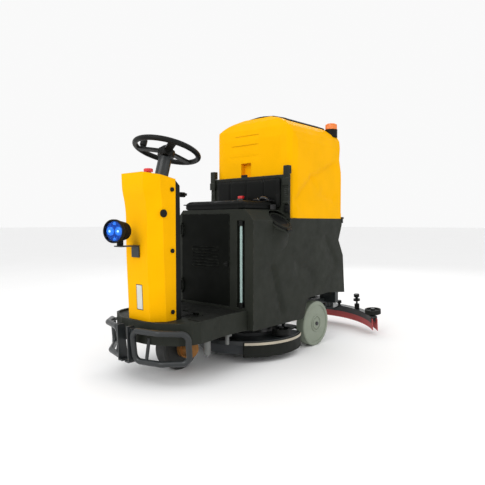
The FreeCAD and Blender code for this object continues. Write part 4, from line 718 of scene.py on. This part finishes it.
def make_latch(node, body, name):
    """Rubber draw strap with ribs, its moulded buckle and the nose over the tank's ledge."""
    low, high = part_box(node)
    x = (low.x + high.x) / 2
    back = high.y - 0.0135
    heel_z = low.z + 0.008
    parts = []
    strap = [(0.0150, heel_z), (0.0160, heel_z + 0.02), (0.0145, heel_z + 0.05), (0.0135, heel_z + 0.088)]
    rings = []
    for half, z in strap:
        rings.append([Vector((x - half, back - 0.0065, z)), Vector((x - half + 0.002, back - 0.0085, z)),
                      Vector((x + half - 0.002, back - 0.0085, z)), Vector((x + half, back - 0.0065, z)),
                      Vector((x + half, back - 0.001, z)), Vector((x - half, back - 0.001, z))])
    parts.append(loft(rings))
    parts.append(lathe([(0, -0.0165), (0.0072, -0.0165), (0.008, -0.0155), (0.008, 0.0155), (0.0072, 0.0165),
                        (0, 0.0165)], (x, back - 0.009, heel_z), X, 28))
    for k in range(6):
        z = heel_z + 0.026 + 0.009 * k
        parts.append(rounded_box(x - 0.0125, x + 0.0125, back - 0.0105, back - 0.0075,
                                 z, z + 0.004, 0.0012, 2))
    parts.append(rounded_box(x - 0.0185, x + 0.0185, back - 0.0155, back - 0.0005, heel_z + 0.080,
                             heel_z + 0.118, 0.003))
    parts.append(rounded_box(x - 0.0160, x + 0.0160, back - 0.0125, back - 0.0005, heel_z + 0.112,
                             high.z, 0.003))
    parts.append(rounded_box(x - 0.0160, x + 0.0160, back - 0.003, high.y, high.z - 0.040, high.z, 0.003))
    piece = finished(name, merged(parts), body, finishes["dark_shell"], 35)
    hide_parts(node)
    panel = back - 0.0005
    anchor = [rounded_box(x - 0.0165, x + 0.0165, panel - 0.006, panel + 0.001,
                          anchor_foot_z, heel_z - 0.013, 0.002)]
    for z in anchor_rivets_z:
        anchor.append(lathe([(0, 0.0032), (0.0032, 0.0030), (0.0046, 0.0012), (0.0046, 0), (0, 0)],
                            (x, panel - 0.0055, z), -Y, 20))
    finished(name + "_anchor", merged(anchor), "chassis", finishes["black_plastic"], 35)


# ---- seat belt ------------------------------------------------------------
button_low, button_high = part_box("buckle_button")
belt_y = -0.080
belt_right_x = 0.108
belt_left_x = 0.1955
belt_fall_x = 0.2067


def ribbon(points, across, thick):
    """Flat strap along points; across is half its width, as a vector."""
    rings = []
    for index, point in enumerate(points):
        before = points[max(index - 1, 0)]
        after = points[min(index + 1, len(points) - 1)]
        normal = (after - before).normalized().cross(across.normalized()) * thick / 2
        edge = across * 0.96
        rings.append([point - across, point - edge + normal, point + edge + normal, point + across,
                      point + edge - normal, point - edge - normal])
    return loft(rings)


def blister(sections, base):
    """Closed form along x from (x, half width, height) sections that stand on base."""
    return loft([[Vector((x, belt_y + wide * math.cos(a), base + tall * 0.5 * (1 + math.sin(a))))
                  for a in turns(24)] for x, wide, tall in sections])


def make_belt():
    """Webbing on the seat and down its left edge, its tongue, two glossy housings and the buckle."""
    top = seat_high.z + 0.002
    half = Vector((0, 0.022, 0))
    points = []
    for k in range(34):
        t = k / 33
        x = belt_right_x + (belt_left_x - belt_right_x) * t
        points.append(Vector((x, belt_y, top + 0.0016 + 0.0016 * math.sin(t * 9.0))))
    web = finished("belt_web", ribbon(points, half, 0.0022), "chassis", webbing, 60)
    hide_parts("seat_belt")
    heights = np.linspace(seat_low.z + 0.002, seat_high.z - 0.013, 12)
    fall = [Vector((belt_fall_x, belt_y, z)) for z in heights]
    finished("belt_fall", ribbon(fall, half, 0.0020), "chassis", webbing, 60)
    bent = [Vector((x, belt_y, top + lift)) for x, lift in
            ((0.063, 0.001), (0.080, 0.0012), (0.098, 0.003), (0.112, 0.009))]
    tongue = ribbon(bent, Vector((0, 0.013, 0)), 0.0022)
    finished("belt_tongue", tongue, "chassis", chrome, 40)
    shroud = blister(((0.094, 0.017, 0.004), (0.099, 0.0225, 0.011), (0.112, 0.0245, 0.0165),
                      (0.128, 0.0235, 0.0150), (0.138, 0.0190, 0.0080), (0.141, 0.0150, 0.003)), top + 0.0008)
    finished("belt_shroud", shroud, "chassis", gloss_black, 60)
    studs = [lathe([(0, 0.0020), (0.0022, 0.0018), (0.0030, 0.0005), (0.0030, -0.002), (0, -0.002)],
                   (0.117, belt_y + y, top + 0.0150), Z, 16) for y in (-0.008, 0.008)]
    finished("belt_rivets", merged(studs), "chassis", chrome, 40)
    bundle = blister(((0.132, 0.010, 0.010), (0.136, 0.0205, 0.0215), (0.148, 0.0240, 0.0290),
                      (0.164, 0.0240, 0.0265), (0.178, 0.0225, 0.0200), (0.188, 0.0180, 0.0110),
                      (0.191, 0.0120, 0.0045)), top + 0.0008)
    finished("belt_bundle", bundle, "chassis", gloss_black, 60)
    y = (button_low.y + button_high.y) / 2
    stalk = rounded_box(-0.0185, 0.0185, y - 0.0110, y + 0.0110, seat_low.z + 0.001,
                        button_low.z + 0.007, 0.004)
    finished("buckle_case", stalk, "chassis", gloss_black, 40)
    cap = rounded_box(-0.0155, 0.0155, y - 0.0080, y + 0.0080, button_low.z + 0.005, button_high.z + 0.003,
                      0.0025)
    press = finished("buckle_press", cap, "button", finishes["red_button"], 40)
    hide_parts("buckle_button")


# ---- small details --------------------------------------------------------
def circle(centre, axis, radius, count=64):
    """Points round a circle square to an axis."""
    side, up = frame_of(axis)
    return [Vector(centre) + (side * math.cos(a) + up * math.sin(a)) * radius for a in turns(count)]


def make_wheel_trim(node, body, way):
    """Raised beads on the outer face of a rear wheel, round its rim and its hub."""
    low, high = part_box(node)
    face = high.x if way > 0 else low.x
    centre = Vector((face, (low.y + high.y) / 2, (low.z + high.z) / 2))
    radius = (high.z - low.z) / 2
    beads = [tube(circle(centre - X * way * 0.0035, X, radius * share), thick, True, 10)
             for share, thick in ((0.86, 0.0042), (0.34, 0.0040), (0.22, 0.0035))]
    finished(node + "_beads", merged(beads), body, finishes["wheel_poly"], 60)


neck_slope = math.radians(38)
neck_axis = Vector((math.sin(neck_slope), 0, math.cos(neck_slope)))
neck_down = Vector((neck_axis.z, 0, -neck_axis.x))
cap_low, cap_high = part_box("fill_cap")
neck_centre = Vector((0.245, (cap_low.y + cap_high.y) / 2, 0.655)) - neck_axis * 0.0065


def make_filler_lip():
    """Rolled lip round the filler's collar."""
    lip = tube(circle(neck_centre, neck_axis, 0.0650, 72), 0.0062, True, 14)
    finished("filler_lip", lip, "chassis", finishes["dark_shell"], 60)


def make_filler_fairing():
    """Swelling of the flank that runs up into the lower half of the filler's collar."""
    rings = []
    for k in range(41):
        turn = math.pi * (k / 40 - 0.5)
        way = neck_down * math.cos(turn) + Y * math.sin(turn)
        rim = neck_centre - neck_axis * 0.006 + way * 0.0665
        foot = Vector((0.2570, neck_centre.y + 0.100 * math.sin(turn) - 0.022 * math.cos(turn),
                       neck_centre.z - 0.014 - 0.125 * math.cos(turn)))
        bend = rim - neck_axis * 0.024
        ring = [rim.lerp(bend, t / 10).lerp(bend.lerp(foot, t / 10), t / 10) for t in range(11)]
        inner = rim - way * 0.005
        rings.append(ring + [foot - X * 0.006, inner - neck_axis * 0.012, inner])
    finished("filler_fairing", loft(rings), "chassis", finishes["dark_shell"], 50)


def make_cap_rim():
    """Raised bead on the filler cap that makes it read as a dish."""
    dish = tube(circle(neck_centre + neck_axis * 0.0145, neck_axis, 0.0555, 72), 0.0028, True, 12)
    finished("cap_rim", dish, "cap", finishes["dark_shell"], 60)


def make_mat_studs():
    """Lozenge studs between the ribs of the platform mat."""
    low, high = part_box("tread_mat")
    base = high.z - 0.0016
    form = bmesh.new()
    half_width = min(0.168, high.x - 0.02)
    count = 15
    rows = 23
    row_pitch = 0.0110
    for row in range(rows):
        y = low.y + 0.020 + row_pitch * row
        for k in range(-count, count + 1):
            x = (k + 0.5 * (row % 2)) * half_width / count
            if abs(x) > half_width:
                continue
            foot = [form.verts.new((x + dx, y + dy, base)) for dx, dy in
                    ((-0.0042, 0), (0, -0.0022), (0.0042, 0), (0, 0.0022))]
            head = [form.verts.new((x + dx, y + dy, base + 0.0013)) for dx, dy in
                    ((-0.0026, 0), (0, -0.0013), (0.0026, 0), (0, 0.0013))]
            bridge(form, foot, head)
            form.faces.new(head)
            form.faces.new(list(reversed(foot)))
    finished("mat_studs", form, "chassis", finishes["rubber"], 20)


def make_wheel_cap():
    """Domed cap in the middle of the steering wheel."""
    wheel_tilt = math.radians(16)
    wheel_centre = Vector((0, -0.563, 0.962))
    axis = Vector((0, -math.sin(wheel_tilt), math.cos(wheel_tilt)))
    hub = wheel_centre + axis * 0.004
    cap = lathe([(0, 0.0215), (0.012, 0.0205), (0.022, 0.0165), (0.0265, 0.0105), (0.027, 0.0), (0, 0.0)],
                hub, axis, 48)
    finished("steering_cap", cap, "steering", finishes["black_plastic"], 45)


def make_beacon_lens():
    """Amber lens with upright flutes and a shallow crown."""
    low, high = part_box("beacon_lens")
    centre = (low + high) / 2
    radius = (high.x - low.x) / 2
    tall = high.z - low.z
    flute_depth = 0.0007
    flutes = 30
    rings = []
    for share, up in ((0.86, 0.0), (1.0, 0.0), (1.0, 0.72), (0.97, 0.86), (0.86, 0.95), (0.5, 0.99)):
        ring = []
        for a in turns(120):
            flute = flute_depth * math.cos(a * flutes) if share == 1.0 else 0.0
            reach = radius * share - flute_depth + flute
            ring.append((centre.x + reach * math.cos(a), centre.y + reach * math.sin(a), low.z + tall * up))
        rings.append(ring)
    lens = finished("beacon_dome", loft(rings), "tank", finishes["amber"], 30)
    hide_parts("beacon_lens")


def make_tank_tab():
    """Black tab that stands up from the back panel in front of the tank's hand hold."""
    tab_x = (-0.052, -0.012)
    tab_z = (0.868, 0.899)
    tab = rounded_box(*tab_x, tank_low.y - 0.012, tank_low.y - 0.0045, *tab_z, 0.0025)
    finished("tank_tab", tab, "chassis", finishes["black_plastic"], 40)


make_column()
make_strip()
make_lamp()
make_latch("tank_latch_left", "latch_left", "strap_left")
make_latch("tank_latch_right", "latch_right", "strap_right")
make_belt()
make_wheel_trim("rear_wheel_left", "wheel_left", 1)
make_wheel_trim("rear_wheel_right", "wheel_right", -1)
make_filler_lip()
make_filler_fairing()
make_cap_rim()
make_mat_studs()
make_wheel_cap()
make_beacon_lens()
make_tank_tab()


# ---- stage ----------------------------------------------------------------
def make_floor():
    size = 60.0
    form = bmesh.new()
    corners = [(-size, -size, 0), (size, -size, 0), (size, size, 0), (-size, size, 0)]
    form.faces.new([form.verts.new(corner) for corner in corners])
    mesh = bpy.data.meshes.new("floor")
    form.to_mesh(mesh)
    form.free()
    floor = bpy.data.objects.new("floor", mesh)
    scene.collection.objects.link(floor)
    material = bpy.data.materials.new("pale_floor")
    material.use_nodes = True
    tree = material.node_tree
    shader = tree.nodes["Principled BSDF"]
    coords = tree.nodes.new("ShaderNodeTexCoord").outputs["Object"]
    link(tree, mixed(tree, noise(tree, coords, 1.5), (0.90, 0.90, 0.90), (0.93, 0.93, 0.93)),
         shader.inputs["Base Color"])
    shader.inputs["Roughness"].default_value = 0.9
    shader.inputs["Specular IOR Level"].default_value = 0.1
    mesh.materials.append(material)


def make_light(name, place, target, size, power):
    """Square white area light aimed at a point."""
    data = bpy.data.lights.new(name, "AREA")
    data.shape = "RECTANGLE"
    data.size = size
    data.size_y = size
    data.energy = power
    lamp = bpy.data.objects.new(name, data)
    scene.collection.objects.link(lamp)
    lamp.location = place
    lamp.rotation_euler = (Vector(target) - Vector(place)).to_track_quat("-Z", "Y").to_euler()


def make_world():
    world = bpy.data.worlds.new("studio")
    scene.world = world
    world.use_nodes = True
    background = world.node_tree.nodes["Background"]
    background.inputs["Color"].default_value = (1.0, 1.0, 1.0, 1.0)
    background.inputs["Strength"].default_value = 0.95


def make_camera():
    data = bpy.data.cameras.new("camera")
    data.lens = 36.0
    data.sensor_width = 36.0
    camera = bpy.data.objects.new("camera", data)
    scene.collection.objects.link(camera)
    look_down = 2.38
    turn_left = 41.35
    camera.location = (1.641, -1.9326, 0.652)
    camera.rotation_euler = (math.radians(90 - look_down), 0.0, math.radians(turn_left))
    scene.camera = camera


make_floor()
make_world()
make_light("key", (0.3, -3.3, 2.6), (0, -0.2, 0.7), 2.2, 50)
make_light("side", (3.0, 0.2, 2.4), (0, 0.2, 0.6), 2.0, 13)
make_light("rear", (-1.6, 3.2, 2.8), (0, 0.3, 0.7), 2.2, 30)
make_camera()
scene.view_settings.view_transform = "Standard"
